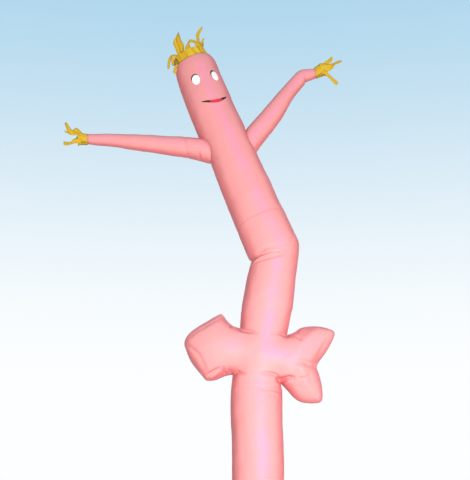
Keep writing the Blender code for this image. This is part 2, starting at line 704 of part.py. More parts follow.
def fringe(name, frame, sides, ribbons, material, steps=3):
    """A narrow band on a tube's edge with ribbons fused to it, one for each named side."""
    outer = [ring(frame, sides), ring(frame, sides, 0.0, BAND_HEIGHT)]
    inner = [ring(frame, sides, CLOTH), ring(frame, sides, CLOTH, BAND_HEIGHT)]
    verts, faces = shell(outer, inner)
    shift = 2 * sides
    faces = facing_out(verts, faces)
    for side, knots in ribbons.items():
        n = (side + 1) % sides
        corners = (sides + side, sides + n, shift + sides + n, shift + sides + side)
        faces = [f for f in faces if set(f) != set(corners)]
        sections = ribbon_rings([verts[i] for i in corners], frame, knots, steps)
        ring_now = corners
        for section in sections:
            first = len(verts)
            verts.extend(section)
            ring_next = tuple(range(first, first + 4))
            for k in range(4):
                j = (k + 1) % 4
                faces.append((ring_now[k], ring_now[j], ring_next[j], ring_next[k]))
            ring_now = ring_next
        faces.append(ring_now)
    item = new_object(name, verts, faces, material)
    work = bmesh.new()
    work.from_mesh(item.data)
    bmesh.ops.recalc_face_normals(work, faces=work.faces)
    if work.calc_volume(signed=True) < 0:
        bmesh.ops.reverse_faces(work, faces=work.faces)
    work.to_mesh(item.data)
    work.free()
    return item


def build_hair(frames, material):
    """The crown of cloth in the mouth of the head, and the strips sewn round its edge."""
    rim = frames[-1]
    foot = narrowed(rim, CLOTH + TRIM_GAP)
    edge = narrowed(rim, CROWN_TAPER)
    crown = [moved(foot, -CROWN_SINK), moved(foot, 0.012), moved(edge, CROWN_HEIGHT)]
    tube("hair_crown", crown, TUBE_SIDES, material)
    fringe("hair_strips", moved(edge, CROWN_HEIGHT + SEAM_GAP), TUBE_SIDES, HAIR, material)


def build_hand(side, arm, fingers, lift, material):
    """A cuff on the end of a sleeve, and the strips sewn round its edge."""
    wrist = arm[-1]
    end = moved(wrist, CUFF_LENGTH)._replace(half_width=CUFF_END, depth=CUFF_END)
    end = end._replace(middle=end.middle + wrist.across * lift)
    waist = moved(wrist, CUFF_LENGTH / 2)
    waist = waist._replace(middle=waist.middle + wrist.across * lift * 0.4)
    tube(f"{side}_cuff", [wrist, waist, end], CUFF_SIDES, material, SEAM_GAP)
    fringe(f"{side}_fingers", moved(end, SEAM_GAP), CUFF_SIDES, fingers, material)


def build_leg(pink):
    frames = frames_of(LEG)
    tube("base_sleeve", frames[:BASE_ROWS + 1], TUBE_SIDES, pink, 0.0, SEAM_GAP / 2, hem=True)
    tube("leg_tube", frames[BASE_ROWS:], TUBE_SIDES, pink, SEAM_GAP / 2, SEAM_GAP / 2)


def build_body(pink):
    """The bent panel, the long upper panel with its sleeve holes, and both arms."""
    frames = frames_of(BODY)
    tube("waist_tube", frames[:WAIST_ROWS + 1], TUBE_SIDES, pink, SEAM_GAP / 2, SEAM_GAP / 2)
    body = tube("body_tube", frames[WAIST_ROWS:], TUBE_SIDES, pink, SEAM_GAP / 2)
    keep_clear = plug("body_guide", frames[WAIST_ROWS:], TUBE_SIDES, -TRIM_GAP)
    left = frames_of(LEFT_ARM)
    right = frames_of(RIGHT_ARM)
    shoulder = tube("left_shoulder", left[:SHOULDER_ROWS + 1], ARM_SIDES, pink, 0.0, SEAM_GAP / 2)
    tube("left_sleeve", left[SHOULDER_ROWS:], ARM_SIDES, pink, SEAM_GAP / 2)
    right_sleeve = tube("right_sleeve", right, ARM_SIDES, pink)
    cut(shoulder, keep_clear)
    cut(right_sleeve, keep_clear)
    cut(body, plug("left_hole", left[:2], ARM_SIDES, CLOTH))
    cut(body, plug("right_hole", right[:2], ARM_SIDES, CLOTH))
    return frames, left, right


def build_face():
    white = cloth("white cloth", WHITE)
    brown = cloth("brown cloth", BROWN)
    red = cloth("red cloth", RED)
    over = PATCH_GAP + PATCH_CLOTH + PATCH_GAP
    for side, eye in EYES.items():
        patch(f"{side}_eye_backing", eye_columns(eye, EYE_BACKING_SHIFT), PATCH_GAP, brown)
        patch(f"{side}_eye", eye_columns(eye), over, white)
    patch("mouth_line", mouth_columns(0.0, 1.0, 1.0, 14), PATCH_GAP, brown)
    patch("mouth_lips", mouth_columns(*LIPS, 0.9, 8), over, red)


def build():
    for item in list(bpy.data.objects):
        bpy.data.objects.remove(item)
    pink = cloth("pink nylon", PINK)
    yellow = cloth("yellow nylon", YELLOW)
    build_leg(pink)
    arrow_panel("arrow_front", -1, pink)
    arrow_panel("arrow_back", 1, pink)
    body, left_arm, right_arm = build_body(pink)
    build_face()
    build_hair(body, yellow)
    build_hand("left", left_arm, LEFT_FINGERS, LEFT_LIFT, yellow)
    build_hand("right", right_arm, RIGHT_FINGERS, RIGHT_LIFT, yellow)


build()
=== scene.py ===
"""Looks of the inflated tube dancer: its cloth panels as sewn and blown up, and the studio.

Metres, +Z up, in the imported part's frame.  The tables give the same shape as the CAD
part, drawn finer, with the creases, puckers and seams of thin coated nylon on it.
The tables' zero lies below the arrow's middle, and "left" is the viewer's left.
"""
import json
import math
from typing import NamedTuple

import bpy
import numpy as np
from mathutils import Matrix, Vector
from mathutils.geometry import delaunay_2d_cdt

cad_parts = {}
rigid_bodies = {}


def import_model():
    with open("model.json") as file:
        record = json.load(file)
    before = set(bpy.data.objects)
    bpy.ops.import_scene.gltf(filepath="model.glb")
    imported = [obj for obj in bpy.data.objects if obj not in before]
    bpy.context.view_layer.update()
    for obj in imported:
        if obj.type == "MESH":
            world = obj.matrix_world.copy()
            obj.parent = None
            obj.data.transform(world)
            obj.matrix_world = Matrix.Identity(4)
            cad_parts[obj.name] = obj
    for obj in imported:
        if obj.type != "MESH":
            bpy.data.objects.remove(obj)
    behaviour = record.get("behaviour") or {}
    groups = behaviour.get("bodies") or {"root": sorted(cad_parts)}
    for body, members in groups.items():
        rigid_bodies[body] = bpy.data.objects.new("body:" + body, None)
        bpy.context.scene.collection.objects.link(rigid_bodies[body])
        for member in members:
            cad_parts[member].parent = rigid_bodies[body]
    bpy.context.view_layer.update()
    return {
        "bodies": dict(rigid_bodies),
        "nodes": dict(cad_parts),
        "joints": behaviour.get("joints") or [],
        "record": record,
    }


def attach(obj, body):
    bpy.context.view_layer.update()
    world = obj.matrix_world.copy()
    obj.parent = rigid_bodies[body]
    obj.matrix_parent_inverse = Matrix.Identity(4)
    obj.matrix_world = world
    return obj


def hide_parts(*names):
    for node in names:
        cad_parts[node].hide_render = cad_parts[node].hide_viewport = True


BASE = np.array([0.485, -0.100, 0.0])
CLOTH = 0.0016           # one layer of coated nylon with its coating and seam allowance
HEM_EXTRA = 0.0020
HEM_HEIGHT = 0.060
SEAM_GAP = 0.0004
TRIM_GAP = 0.0010
ROW_STEP = 0.008         # between the rings of points along a tube
TUBE_SIDES = 152
ARM_SIDES = 80
FOLD_TURN = math.radians(12)   # a crease is deepest this far round from the side
DIRECTION_STEP = 0.25    # rows to both sides that give a section's directions
LENGTH_SAMPLES = 400     # along a panel, to measure its length
END_RINGS = (0.003, 0.007)   # extra rings this far from a panel's ends
FAR = 9.0                # metres, for a point with no sewn edge near it
PAST_END = 0.03          # metres past a tube's last section where it no longer counts
TINY = 1e-12

PINK = "EB9695"
# painted sky sheen: the cooler colour where the cloth faces the front
PINK_PAINTED_SHEEN = "EC91AB"
# painted shade where the cloth turns aside; also the deeper tone of seams and of the grid's threads
PINK_DEEP_AND_PAINTED_SHADE = "DA7075"
YELLOW = "D6A81C"
# painted sky sheen of the yellow cloth, where it faces the front
YELLOW_PAINTED_SHEEN = "DFC235"
# painted shade of the yellow cloth where it turns aside; also its deeper seams and grid threads
YELLOW_DEEP_AND_PAINTED_SHADE = "8E7412"
WHITE = "F8F8F6"
# brown: painted shade at the eyes' upper left edges and at the smile's ends
PAINTED_SHADE_BROWN = "3E1C20"
RED = "E2383C"
WHITE_WORN = "EDEDE9"
PAINTED_SHADE_BROWN_WORN = "2A1216"
RED_WORN = "C92C31"
PINK_THREAD = "F0A6A8"
YELLOW_THREAD = "EBCB66"


class Section(NamedTuple):
    """A cut through a tube: its two side edges as seen from the front, and its depth."""
    left_x: float
    left_z: float
    right_x: float
    right_z: float
    back: float      # how far the middle lies behind the arrow's middle
    depth: float     # half the size from front to back
    fold: float = 0.0   # how deep a crease runs round the left side, or the right if negative


# The leg from the ground to the arrow
LEG = (
    Section(-0.3365, 0.000, 0.1205, 0.000, 0.042, 0.2285),
    Section(-0.3365, 0.080, 0.1205, 0.080, 0.042, 0.2285),
    Section(-0.3000, 0.480, 0.1555, 0.480, 0.029, 0.2278),
    Section(-0.2600, 0.920, 0.1910, 0.920, 0.014, 0.2255),
    Section(-0.2340, 1.350, 0.2120, 1.350, 0.005, 0.2230),
    Section(-0.2215, 1.750, 0.2230, 1.750, 0.000, 0.2225),
    Section(-0.2300, 2.120, 0.2180, 2.120, 0.0, 0.2240),
    Section(-0.2340, 2.300, 0.2160, 2.300, 0.0, 0.2245),
    Section(-0.2310, 2.460, 0.2110, 2.460, 0.0, 0.2205),
)
BASE_ROWS = 3            # the first panel ends at this row of LEG

# From the arrow over the bend to the rim of the head
BODY = (
    Section(-0.144, 3.140, 0.306, 3.140, 0.000, 0.2240),
    Section(-0.136, 3.220, 0.320, 3.185, 0.000, 0.2260),
    Section(-0.120, 3.300, 0.331, 3.275, 0.000, 0.2250),
    Section(-0.102, 3.390, 0.344, 3.385, 0.000, 0.2225),
    Section(-0.083, 3.475, 0.358, 3.505, 0.000, 0.2215),
    Section(-0.068, 3.540, 0.371, 3.630, 0.001, 0.2230),
    Section(-0.062, 3.580, 0.379, 3.705, 0.002, 0.2280, 0.002),
    Section(-0.052, 3.609, 0.381, 3.765, 0.004, 0.2280, 0.009),
    Section(-0.072, 3.634, 0.371, 3.812, 0.006, 0.2340, 0.002),
    Section(-0.100, 3.700, 0.344, 3.880, 0.012, 0.2360),
    Section(-0.139, 3.800, 0.300, 3.980, 0.020, 0.2350),
    Section(-0.177, 3.900, 0.260, 4.080, 0.030, 0.2350),
    Section(-0.240, 4.070, 0.185, 4.250, 0.048, 0.2310),
    Section(-0.330, 4.315, 0.085, 4.490, 0.073, 0.2255),
    Section(-0.415, 4.545, -0.008, 4.710, 0.098, 0.2205),
    Section(-0.504, 4.766, -0.095, 4.930, 0.120, 0.2180),
    Section(-0.613, 5.036, -0.211, 5.204, 0.149, 0.2165),
    Section(-0.662, 5.168, -0.264, 5.335, 0.163, 0.2150),
    Section(-0.725, 5.352, -0.332, 5.510, 0.182, 0.2110),
    Section(-0.756, 5.455, -0.366, 5.608, 0.192, 0.2080),
    Section(-0.770, 5.520, -0.393, 5.670, 0.199, 0.2010),
    Section(-0.774, 5.560, -0.430, 5.713, 0.203, 0.1890),
    Section(-0.772, 5.576, -0.452, 5.720, 0.203, 0.1770),
)
WAIST_ROWS = 11          # the panel with the bend ends at this row of BODY

# Arms, each from inside the body to its cuff
LEFT_ARM = (
    Section(-0.236, 4.536, -0.288, 4.826, 0.110, 0.1450),
    Section(-0.458, 4.588, -0.500, 4.826, 0.108, 0.1200),
    Section(-0.638, 4.638, -0.670, 4.840, 0.108, 0.1030),
    Section(-0.868, 4.674, -0.892, 4.856, 0.109, 0.0915),
    Section(-1.104, 4.714, -1.110, 4.865, 0.110, 0.0757),
    Section(-1.350, 4.750, -1.356, 4.876, 0.112, 0.0635),
    Section(-1.586, 4.776, -1.588, 4.878, 0.115, 0.0508),
)
SHOULDER_ROWS = 2        # the shoulder piece ends at this row of LEFT_ARM
RIGHT_ARM = (
    Section(-0.286, 4.712, -0.078, 4.560, 0.110, 0.1280),
    Section(-0.134, 4.880, 0.038, 4.742, 0.120, 0.1115),
    Section(0.086, 5.140, 0.240, 5.032, 0.140, 0.0940),
    Section(0.220, 5.322, 0.350, 5.234, 0.160, 0.0790),
    Section(0.330, 5.450, 0.442, 5.368, 0.178, 0.0690),
    Section(0.392, 5.528, 0.480, 5.420, 0.186, 0.0670),
    Section(0.430, 5.560, 0.490, 5.436, 0.189, 0.0660, -0.010),
    Section(0.476, 5.576, 0.504, 5.452, 0.190, 0.0600),
    Section(0.570, 5.588, 0.592, 5.486, 0.190, 0.0510),
)

# The arrow's outline seen from the front, round it from its lower left corner, as (x, z)
ARROW_HEAD = (
    (-0.217, 2.590), (-0.283, 2.577), (-0.363, 2.543), (-0.443, 2.537),
    (-0.478, 2.572), (-0.580, 2.698), (-0.627, 2.805), (-0.643, 2.855),
    (-0.633, 2.905), (-0.578, 2.972), (-0.467, 3.044), (-0.332, 3.124),
    (-0.304, 3.116), (-0.263, 3.064), (-0.217, 3.020), (-0.152, 2.997),
)
ARROW_TAIL = (
    (0.264, 2.936), (0.326, 2.961), (0.377, 2.997), (0.449, 3.013),
    (0.530, 3.015), (0.622, 2.997), (0.684, 2.964), (0.672, 2.905),
    (0.606, 2.788), (0.522, 2.667), (0.540, 2.587), (0.563, 2.480),
    (0.560, 2.366), (0.495, 2.341), (0.386, 2.349), (0.317, 2.388),
    (0.264, 2.448), (0.205, 2.512),
)
OUTLINE_STEP = 0.024
EDGE_LOOPS = (0.008, 0.020, 0.036)
GRID_STEP = 0.026
BAR_STEP = 0.026
EVEN_MERGE = 0.62
REFINEMENTS = 2
LOOP_KEEP = 0.9          # share of its offset that a row inside the edge keeps from it
GRID_CLEAR = 0.4         # steps of the grid that it keeps from those rows
BLEND = 7                # how tightly the arrow and the tube run into each other
ARROW_FULLNESS = 1.04
ON_EDGE = 1e-6           # metres, for a point that lies on an edge
ARROW_EDGE_FLAT = 0.010  # metres from its edge where the cloth's relief fades
ARROW_CORNER = 0.02      # metres round the places where the arrow starts on the tube


class Crease(NamedTuple):
    """A line in the cloth seen from the front, as (x, z) places on it."""
    depth: float     # metres inwards; a ridge if negative
    width: float     # half of it, where it has half its depth
    line: tuple


CREASES = (
    # round the arrow's notches and corners
    Crease(0.013, 0.010, ((-0.212, 3.016), (-0.226, 3.004), (-0.236, 2.988))),
    Crease(0.018, 0.013, ((-0.153, 2.963), (-0.118, 2.954), (-0.066, 2.941), (-0.014, 2.927))),
    Crease(0.010, 0.012, ((0.255, 2.906), (0.225, 2.919), (0.195, 2.924), (0.125, 2.924))),
    Crease(0.009, 0.010, ((0.341, 2.910), (0.363, 2.888), (0.380, 2.869))),
    Crease(0.016, 0.011, ((-0.213, 2.574), (-0.179, 2.591), (-0.153, 2.586), (-0.119, 2.579))),
    Crease(0.013, 0.011, ((0.191, 2.505), (0.176, 2.541), (0.155, 2.565), (0.113, 2.575),
                          (0.070, 2.579), (0.035, 2.578))),
    Crease(0.028, 0.014, ((0.176, 2.530), (0.218, 2.532), (0.263, 2.543), (0.299, 2.543))),
    Crease(0.009, 0.010, ((0.354, 2.540), (0.388, 2.542), (0.440, 2.557))),
    # the tail's fins
    Crease(-0.013, 0.032, ((0.358, 2.797), (0.419, 2.863), (0.481, 2.924), (0.535, 2.968))),
    Crease(-0.013, 0.032, ((0.356, 2.664), (0.381, 2.596), (0.405, 2.527), (0.430, 2.459))),
    Crease(0.019, 0.024, ((0.520, 2.654), (0.452, 2.663), (0.383, 2.676), (0.305, 2.667))),
    Crease(0.006, 0.015, ((0.636, 2.916), (0.590, 2.847), (0.545, 2.768), (0.491, 2.690))),
    # the head's edges and its lower barb
    Crease(0.006, 0.015, ((-0.624, 2.860), (-0.580, 2.803), (-0.518, 2.751), (-0.474, 2.672),
                          (-0.446, 2.612))),
    Crease(0.004, 0.013, ((-0.623, 2.882), (-0.555, 2.940), (-0.468, 2.988), (-0.389, 3.033),
                          (-0.324, 3.081))),
    Crease(0.013, 0.010, ((-0.434, 2.575), (-0.403, 2.590), (-0.369, 2.607), (-0.334, 2.625))),
    Crease(-0.008, 0.012, ((-0.413, 2.545), (-0.374, 2.575), (-0.339, 2.605))),
    Crease(0.010, 0.009, ((-0.281, 2.575), (-0.286, 2.601), (-0.291, 2.631))),
    Crease(0.010, 0.009, ((-0.239, 2.574), (-0.243, 2.598), (-0.239, 2.619))),
    # below the arrow
    Crease(0.010, 0.010, ((0.035, 2.445), (0.092, 2.439), (0.144, 2.437), (0.200, 2.428))),
    Crease(0.007, 0.009, ((0.070, 2.405), (0.112, 2.400), (0.154, 2.398))),
    # the bend
    Crease(0.018, 0.009, ((-0.070, 3.566), (-0.050, 3.580), (-0.030, 3.600), (0.009, 3.619),
                          (0.042, 3.630), (0.081, 3.637), (0.114, 3.644))),
    Crease(0.010, 0.010, ((0.003, 3.646), (0.036, 3.658), (0.064, 3.671), (0.094, 3.685))),
    Crease(0.011, 0.009, ((-0.020, 3.566), (0.044, 3.578), (0.129, 3.594), (0.201, 3.612),
                          (0.240, 3.630), (0.280, 3.654))),
    Crease(0.008, 0.008, ((0.135, 3.640), (0.180, 3.646), (0.220, 3.660), (0.260, 3.680))),
    Crease(0.009, 0.009, ((0.289, 3.771), (0.318, 3.794), (0.340, 3.812))),
    Crease(0.007, 0.008, ((0.295, 3.748), (0.323, 3.763), (0.354, 3.783))),
    # the viewer's left shoulder
    Crease(0.012, 0.010, ((-0.532, 4.659), (-0.528, 4.630), (-0.525, 4.598))),
)


CREASE_REACH = 5         # in half widths, how far a crease acts
CREASE_FADE = (0.05, 0.95)   # shares of its line between which it stays open
LIP_SHARE = 0.18         # height of the lips beside a crease, as a share of its depth
LIP_AT = 2.4             # in half widths, where the lips stand
LIP_WIDTH = 1.2
FACING_SLOPE = 2.0       # how fast creases begin as the cloth turns to the viewer
FACING_START = 0.3


class Wave(NamedTuple):
    """One slow swell of the blown cloth."""
    height: float
    x: float         # radians per metre
    y: float
    z: float
    start: float


WAVES = (
    Wave(0.0014, 7.1, 5.3, 9.7, 0.4), Wave(0.0012, -11.9, 8.8, 6.1, 1.9),
    Wave(0.0010, 15.7, -6.2, -12.4, 3.1), Wave(0.0008, 5.2, 17.9, 19.3, 4.6),
    Wave(0.0006, 27.0, 12.0, -8.0, 2.2), Wave(0.0005, -19.0, 23.0, 31.0, 5.5),
    Wave(0.0004, 44.0, -31.0, 11.0, 0.9), Wave(0.0003, 36.0, 41.0, -52.0, 2.9),
)
SEAM_REACH = 0.010
HEM_EDGE = 0.004         # of the hem's step, and from it to the hem's stitches
LENGTH_SEAM_SINK = 0.0020
PUCKER_HEIGHT = 0.0026
PUCKER_REACH = 0.055


class Seam(NamedTuple):
    """A sewn edge: what makes its gathers differ from others, and how strongly it pulls."""
    seed: float
    sink: float      # metres that the stitching pulls the cloth in
    gather: float    # share of the gathers' usual height
    count: int       # gathers round it
    marked: bool     # whether its allowance and stitches show


LEG_LOW = Seam(0.4, 0.0040, 1.0, 41, True)
LEG_TOP = Seam(1.7, 0.0010, 0.8, 33, False)
WAIST_LOW = Seam(2.6, 0.0, 0.5, 37, False)
WAIST_TOP = Seam(3.3, 0.0016, 0.8, 41, True)
RIM = Seam(4.9, 0.0030, 1.2, 37, True)
ELBOW = Seam(2.2, 0.0035, 0.9, 21, True)
LEFT_ROOT = Seam(5.8, 0.0050, 1.5, 23, True)
RIGHT_ROOT = Seam(0.9, 0.0050, 1.5, 21, True)
LEFT_WRIST = Seam(3.9, 0.0026, 0.8, 15, True)
RIGHT_WRIST = Seam(1.2, 0.0026, 0.9, 15, True)
ARROW_EDGE = Seam(2.9, 0.0, 1.2, 1, True)
HOLE_RINGS = 36          # of a sleeve that reach through the body's wall
SHOULDER_PLACES = np.linspace(12.5, 15.5, 50)   # on BODY, beside the arms' roots
ROOT_PLACES = np.linspace(0, 2, 40)             # on an arm, beside the body
ARROW_END_SIDES = 24
ARROW_PUCKER_RUN = 0.011   # metres along the edge for one radian of the gathers
STRIP_ROWS = 3
STRIP_COLUMNS = 10
STRIP_FULL_WIDTH = 0.030   # a strip narrower than this is nearly flat across
STRIP_RIPPLE = 0.0022
RIPPLE_ALONG = 150       # radians per metre
RIPPLE_ACROSS = 60
STRIP_FOLD_WIDTH = 0.13  # share of a strip's width
STANDING_TAPER = 0.55    # share of a standing strip's width that its top loses
STANDING_ROOT = 0.004    # metres that it reaches below the ring's edge
STANDING_POINT = 0.012   # metres that its top corners lie lower than its middle
STANDING_CURL = 0.010
STANDING_CLEAR = 0.002   # metres inside the ring

# Flat sizes of the cut pieces: width and length, and the area where it isn't a rectangle
BASE_FLAT = (1.436, 0.98)
LEG_FLAT = (1.40, 1.54)
WAIST_FLAT = (1.44, 0.97)
SHOULDER_FLAT = (0.70, 0.20)
LEFT_SLEEVE_FLAT = (0.48, 0.94)
RIGHT_SLEEVE_FLAT = (0.53, 0.99)
LEFT_FINGER_FLAT = ((0.36, 0.20), 0.038)
RIGHT_FINGER_FLAT = ((0.35, 0.21), 0.043)
EYE_FLAT = ((0.078, 0.100), 0.0061)
MOUTH_FLAT = ((0.260, 0.065), 0.0067)
LIPS_FLAT = ((0.118, 0.040), 0.0034)

# Cloth looks, in metres; the ripstop's 5 mm grid is drawn three times as coarse so that it shows
RIPSTOP = 0.015
WAVE_PERIOD = 0.314
THREAD_SHARPNESS = 14.0
STITCH_LENGTH = 0.006
STITCH_WIDTH = 0.0009
STITCH_ROWS = (0.004, 0.010)
SEAM_ALLOWANCE = 0.014
# size of the patches in which the painted sky sheen is stronger or weaker
PAINTED_SHEEN_PATCH = 0.30
CRUMPLE = 0.060
FINE_CRUMPLE = 0.018
# painted shade: the most of the deeper colour that the cloth takes where it turns aside
PAINTED_SHADE_SHARE = 0.80
# how much of the deeper colour the cloth takes along its seams
SEAM_DEEPENING_SHARE = 0.25
PATCH_WEAVE = 0.008
PATCH_MOTTLE = 0.030
PAINTED_SHEEN_FACING = (0.17, 0.0, 0.02)    # the way out that the middle of the painted sky sheen faces, seen from the front
# how far from that way the painted sky sheen reaches
PAINTED_SHEEN_REACH = 0.40
NYLON_ROUGHNESS = 0.48
NYLON_SPECULAR = 0.22
WOVEN_ROUGHNESS = 0.72
WOVEN_SPECULAR = 0.30
GRID_SHARE = 0.08        # how much of the side's colour the grid's threads take
STITCH_SHARE = 0.8       # how much of the thread's colour a stitch takes
STITCH_PART = 0.72       # of a stitch's length that lies on top of the cloth

WORLD_LOW = "FAFCFD"
WORLD_HIGH = "A9D3EA"
WORLD_SIDE = "C6BAB6"      # the room to both sides
WORLD_STRENGTH = 1.02
WORLD_LEVELS = (0.10, 0.555)   # a direction's height where the low and the high colour are
WORLD_ASIDE = (0.30, 0.85)     # how far aside it points where the sides' colour begins and ends
FLOOR_COLOUR = "DCD5CA"
FLOOR_SIZE = 24.0
FLOOR_ROUGHNESS = 0.8


class Lamp(NamedTuple):
    """A large soft light panel."""
    name: str
    place: tuple
    target: tuple
    size: float
    watts: float
    colour: tuple
    spread: float    # degrees that its light spreads over


LAMPS = (
    # its narrow spread keeps the floor near it dim
    Lamp("key", (2.2, -6.6, 1.3), (0.3, 0, 2.8), 2.2, 142.0, (1.0, 0.985, 0.96), 95),
    Lamp("fill", (-3.5, -7.5, 3.0), (0.2, 0, 3.0), 3.0, 90.0, (1.0, 0.985, 0.98), 180),
    Lamp("behind", (0.5, 7.0, 6.5), (0.2, 0, 4.0), 4.0, 120.0, (0.97, 0.985, 1.0), 180),
)
CAMERA_PLACE = (0.289, -8.400, 1.600)
CAMERA_RISE = 14.9       # degrees above level
CAMERA_SENSOR = 36.0
CAMERA_LENS = 72.46

PATCH_CLOTH = 0.0016
PATCH_GAP = 0.0006
PATCH_COLUMNS = 28
PATCH_ROWS = 12
HEAD_RADIUS = 0.21
EYE_END = 0.05           # share of an oval's height that its ends keep


class Patch(NamedTuple):
    """An oval on the head: degrees from the front, place along BODY, and its half sizes."""
    turn: float
    row: float
    half_width: float
    half_height: float


EYES = {"left": Patch(-14.5, 17.66, 0.0390, 0.050), "right": Patch(37.7, 17.60, 0.0340, 0.050)}
EYE_SHADE_SHIFT = (-0.005, 0.095)    # metres to the left, rows up; a crescent of the brown patch shows beyond the white oval as painted shade
MOUTH_TURNS = (-21.4, 46.1)
MOUTH_ROW = 16.07
MOUTH_SAG = 0.16
MOUTH_LEFT_RISE = 0.10   # rows that its left end stands above the even curve
MOUTH_HALF = 0.0138
MOUTH_END = 0.45         # share of its height that the mouth's ends keep
MOUTH_ROUNDING = 0.4
MOUTH_ROWS = 5
MOUTH_COLUMNS = 48
LIPS = (0.28, 0.73)      # the red part, as shares of the mouth's length
LIPS_GROW = 0.9


class Cut(NamedTuple):
    """A line across a strip: its two edges as seen from the front, and how far forward it is."""
    one_across: float
    one_along: float
    two_across: float
    two_along: float
    front: float


class Strip(NamedTuple):
    """A loose strip: its cuts from the root up, and the shape across it."""
    bulge: float
    fold: float      # how deep a crease runs up it
    fold_at: float   # where across it, from 0 to 1
    cuts: tuple


CROWN_SINK = 0.012
CROWN_HEIGHT = 0.080
CROWN_TAPER = 0.014
CROWN_WRINKLE = 0.0045
CROWN_SEED = 1.3
CROWN_RINGS = 15
CROWN_CLEAR = 0.006      # between the head's cloth and the crown's foot
CROWN_SMOOTH = 0.03      # metres above the rim where the wrinkles reach their height
HAIR_BAND = (0.0006, 0.006, 0.012)   # rings of the band above the crown's edge
BAND_CLEAR = 0.001
HAIR = (
    Strip(0.026, 0.022, 0.36, (
        Cut(-0.112, 0.010, -0.020, 0.010, 0.118), Cut(-0.111, 0.091, -0.035, 0.109, 0.116),
        Cut(-0.110, 0.131, -0.016, 0.148, 0.112), Cut(-0.105, 0.183, -0.012, 0.193, 0.106),
        Cut(-0.102, 0.229, -0.015, 0.235, 0.100), Cut(-0.070, 0.269, -0.009, 0.275, 0.094),
        Cut(-0.033, 0.298, -0.006, 0.305, 0.090), Cut(-0.007, 0.327, -0.003, 0.331, 0.086))),
    Strip(0.012, 0.010, 0.60, (
        Cut(-0.045, 0.010, 0.036, 0.010, 0.150), Cut(-0.039, 0.045, 0.034, 0.040, 0.146),
        Cut(-0.028, 0.100, 0.033, 0.103, 0.140), Cut(-0.010, 0.131, 0.037, 0.137, 0.134),
        Cut(0.022, 0.160, 0.045, 0.155, 0.128), Cut(0.056, 0.188, 0.059, 0.153, 0.124),
        Cut(0.095, 0.168, 0.078, 0.143, 0.122), Cut(0.122, 0.131, 0.088, 0.120, 0.120),
        Cut(0.130, 0.087, 0.084, 0.091, 0.118), Cut(0.130, 0.020, 0.084, 0.020, 0.114))),
    Strip(0.010, 0.0, 0.5, (
        Cut(0.030, 0.010, 0.090, 0.010, 0.136), Cut(0.030, 0.050, 0.090, 0.050, 0.132),
        Cut(0.032, 0.085, 0.088, 0.091, 0.126))),
    Strip(0.006, 0.006, 0.55, (
        Cut(0.066, 0.010, 0.126, 0.010, 0.104), Cut(0.082, 0.061, 0.119, 0.045, 0.100),
        Cut(0.101, 0.106, 0.133, 0.098, 0.094), Cut(0.116, 0.153, 0.145, 0.139, 0.088),
        Cut(0.128, 0.194, 0.154, 0.170, 0.082), Cut(0.143, 0.235, 0.167, 0.206, 0.076),
        Cut(0.168, 0.263, 0.188, 0.235, 0.070), Cut(0.199, 0.280, 0.207, 0.253, 0.066),
        Cut(0.222, 0.293, 0.229, 0.273, 0.062), Cut(0.236, 0.303, 0.239, 0.297, 0.060))),
    Strip(0.005, 0.0, 0.5, (
        Cut(0.104, 0.010, 0.150, 0.010, 0.066), Cut(0.114, 0.064, 0.142, 0.061, 0.064),
        Cut(0.128, 0.100, 0.152, 0.110, 0.060), Cut(0.138, 0.123, 0.168, 0.129, 0.058),
        Cut(0.157, 0.150, 0.185, 0.148, 0.056), Cut(0.181, 0.171, 0.199, 0.162, 0.054),
        Cut(0.200, 0.183, 0.205, 0.177, 0.052))),
    Strip(0.014, 0.010, 0.45, (
        Cut(0.070, -0.012, 0.160, -0.034, 0.104), Cut(0.078, 0.030, 0.160, 0.005, 0.098),
        Cut(0.090, 0.081, 0.155, 0.046, 0.090), Cut(0.104, 0.114, 0.150, 0.093, 0.084),
        Cut(0.124, 0.127, 0.142, 0.114, 0.080))),
    Strip(0.010, 0.006, 0.5, (
        Cut(-0.070, 0.010, -0.128, 0.004, 0.094), Cut(-0.100, 0.066, -0.122, 0.030, 0.094),
        Cut(-0.112, 0.098, -0.130, 0.062, 0.094), Cut(-0.130, 0.114, -0.149, 0.082, 0.092),
        Cut(-0.151, 0.123, -0.166, 0.096, 0.090), Cut(-0.174, 0.124, -0.182, 0.093, 0.088),
        Cut(-0.197, 0.111, -0.202, 0.068, 0.086), Cut(-0.221, 0.081, -0.218, 0.036, 0.084),
        Cut(-0.240, 0.045, -0.234, 0.012, 0.082), Cut(-0.256, 0.010, -0.240, 0.002, 0.080))),
    Strip(0.006, 0.0, 0.5, (
        Cut(-0.096, 0.020, -0.126, 0.010, 0.110), Cut(-0.132, 0.091, -0.132, 0.064, 0.110),
        Cut(-0.158, 0.106, -0.153, 0.079, 0.108), Cut(-0.178, 0.097, -0.167, 0.064, 0.106),
        Cut(-0.189, 0.066, -0.176, 0.037, 0.104), Cut(-0.197, 0.026, -0.185, 0.012, 0.102))),
    Strip(0.010, 0.008, 0.4, (
        Cut(-0.090, 0.010, -0.100, -0.016, 0.086), Cut(-0.125, 0.022, -0.150, -0.028, 0.082),
        Cut(-0.166, 0.021, -0.176, -0.042, 0.076), Cut(-0.199, -0.012, -0.192, -0.056, 0.070),
        Cut(-0.219, -0.036, -0.212, -0.060, 0.066))),
)


class Standing(NamedTuple):
    """A strip that stands on the ring: degrees from the front, its sizes and its lean."""
    turn: float
    width: float
    height: float
    out: float
    sideways: float


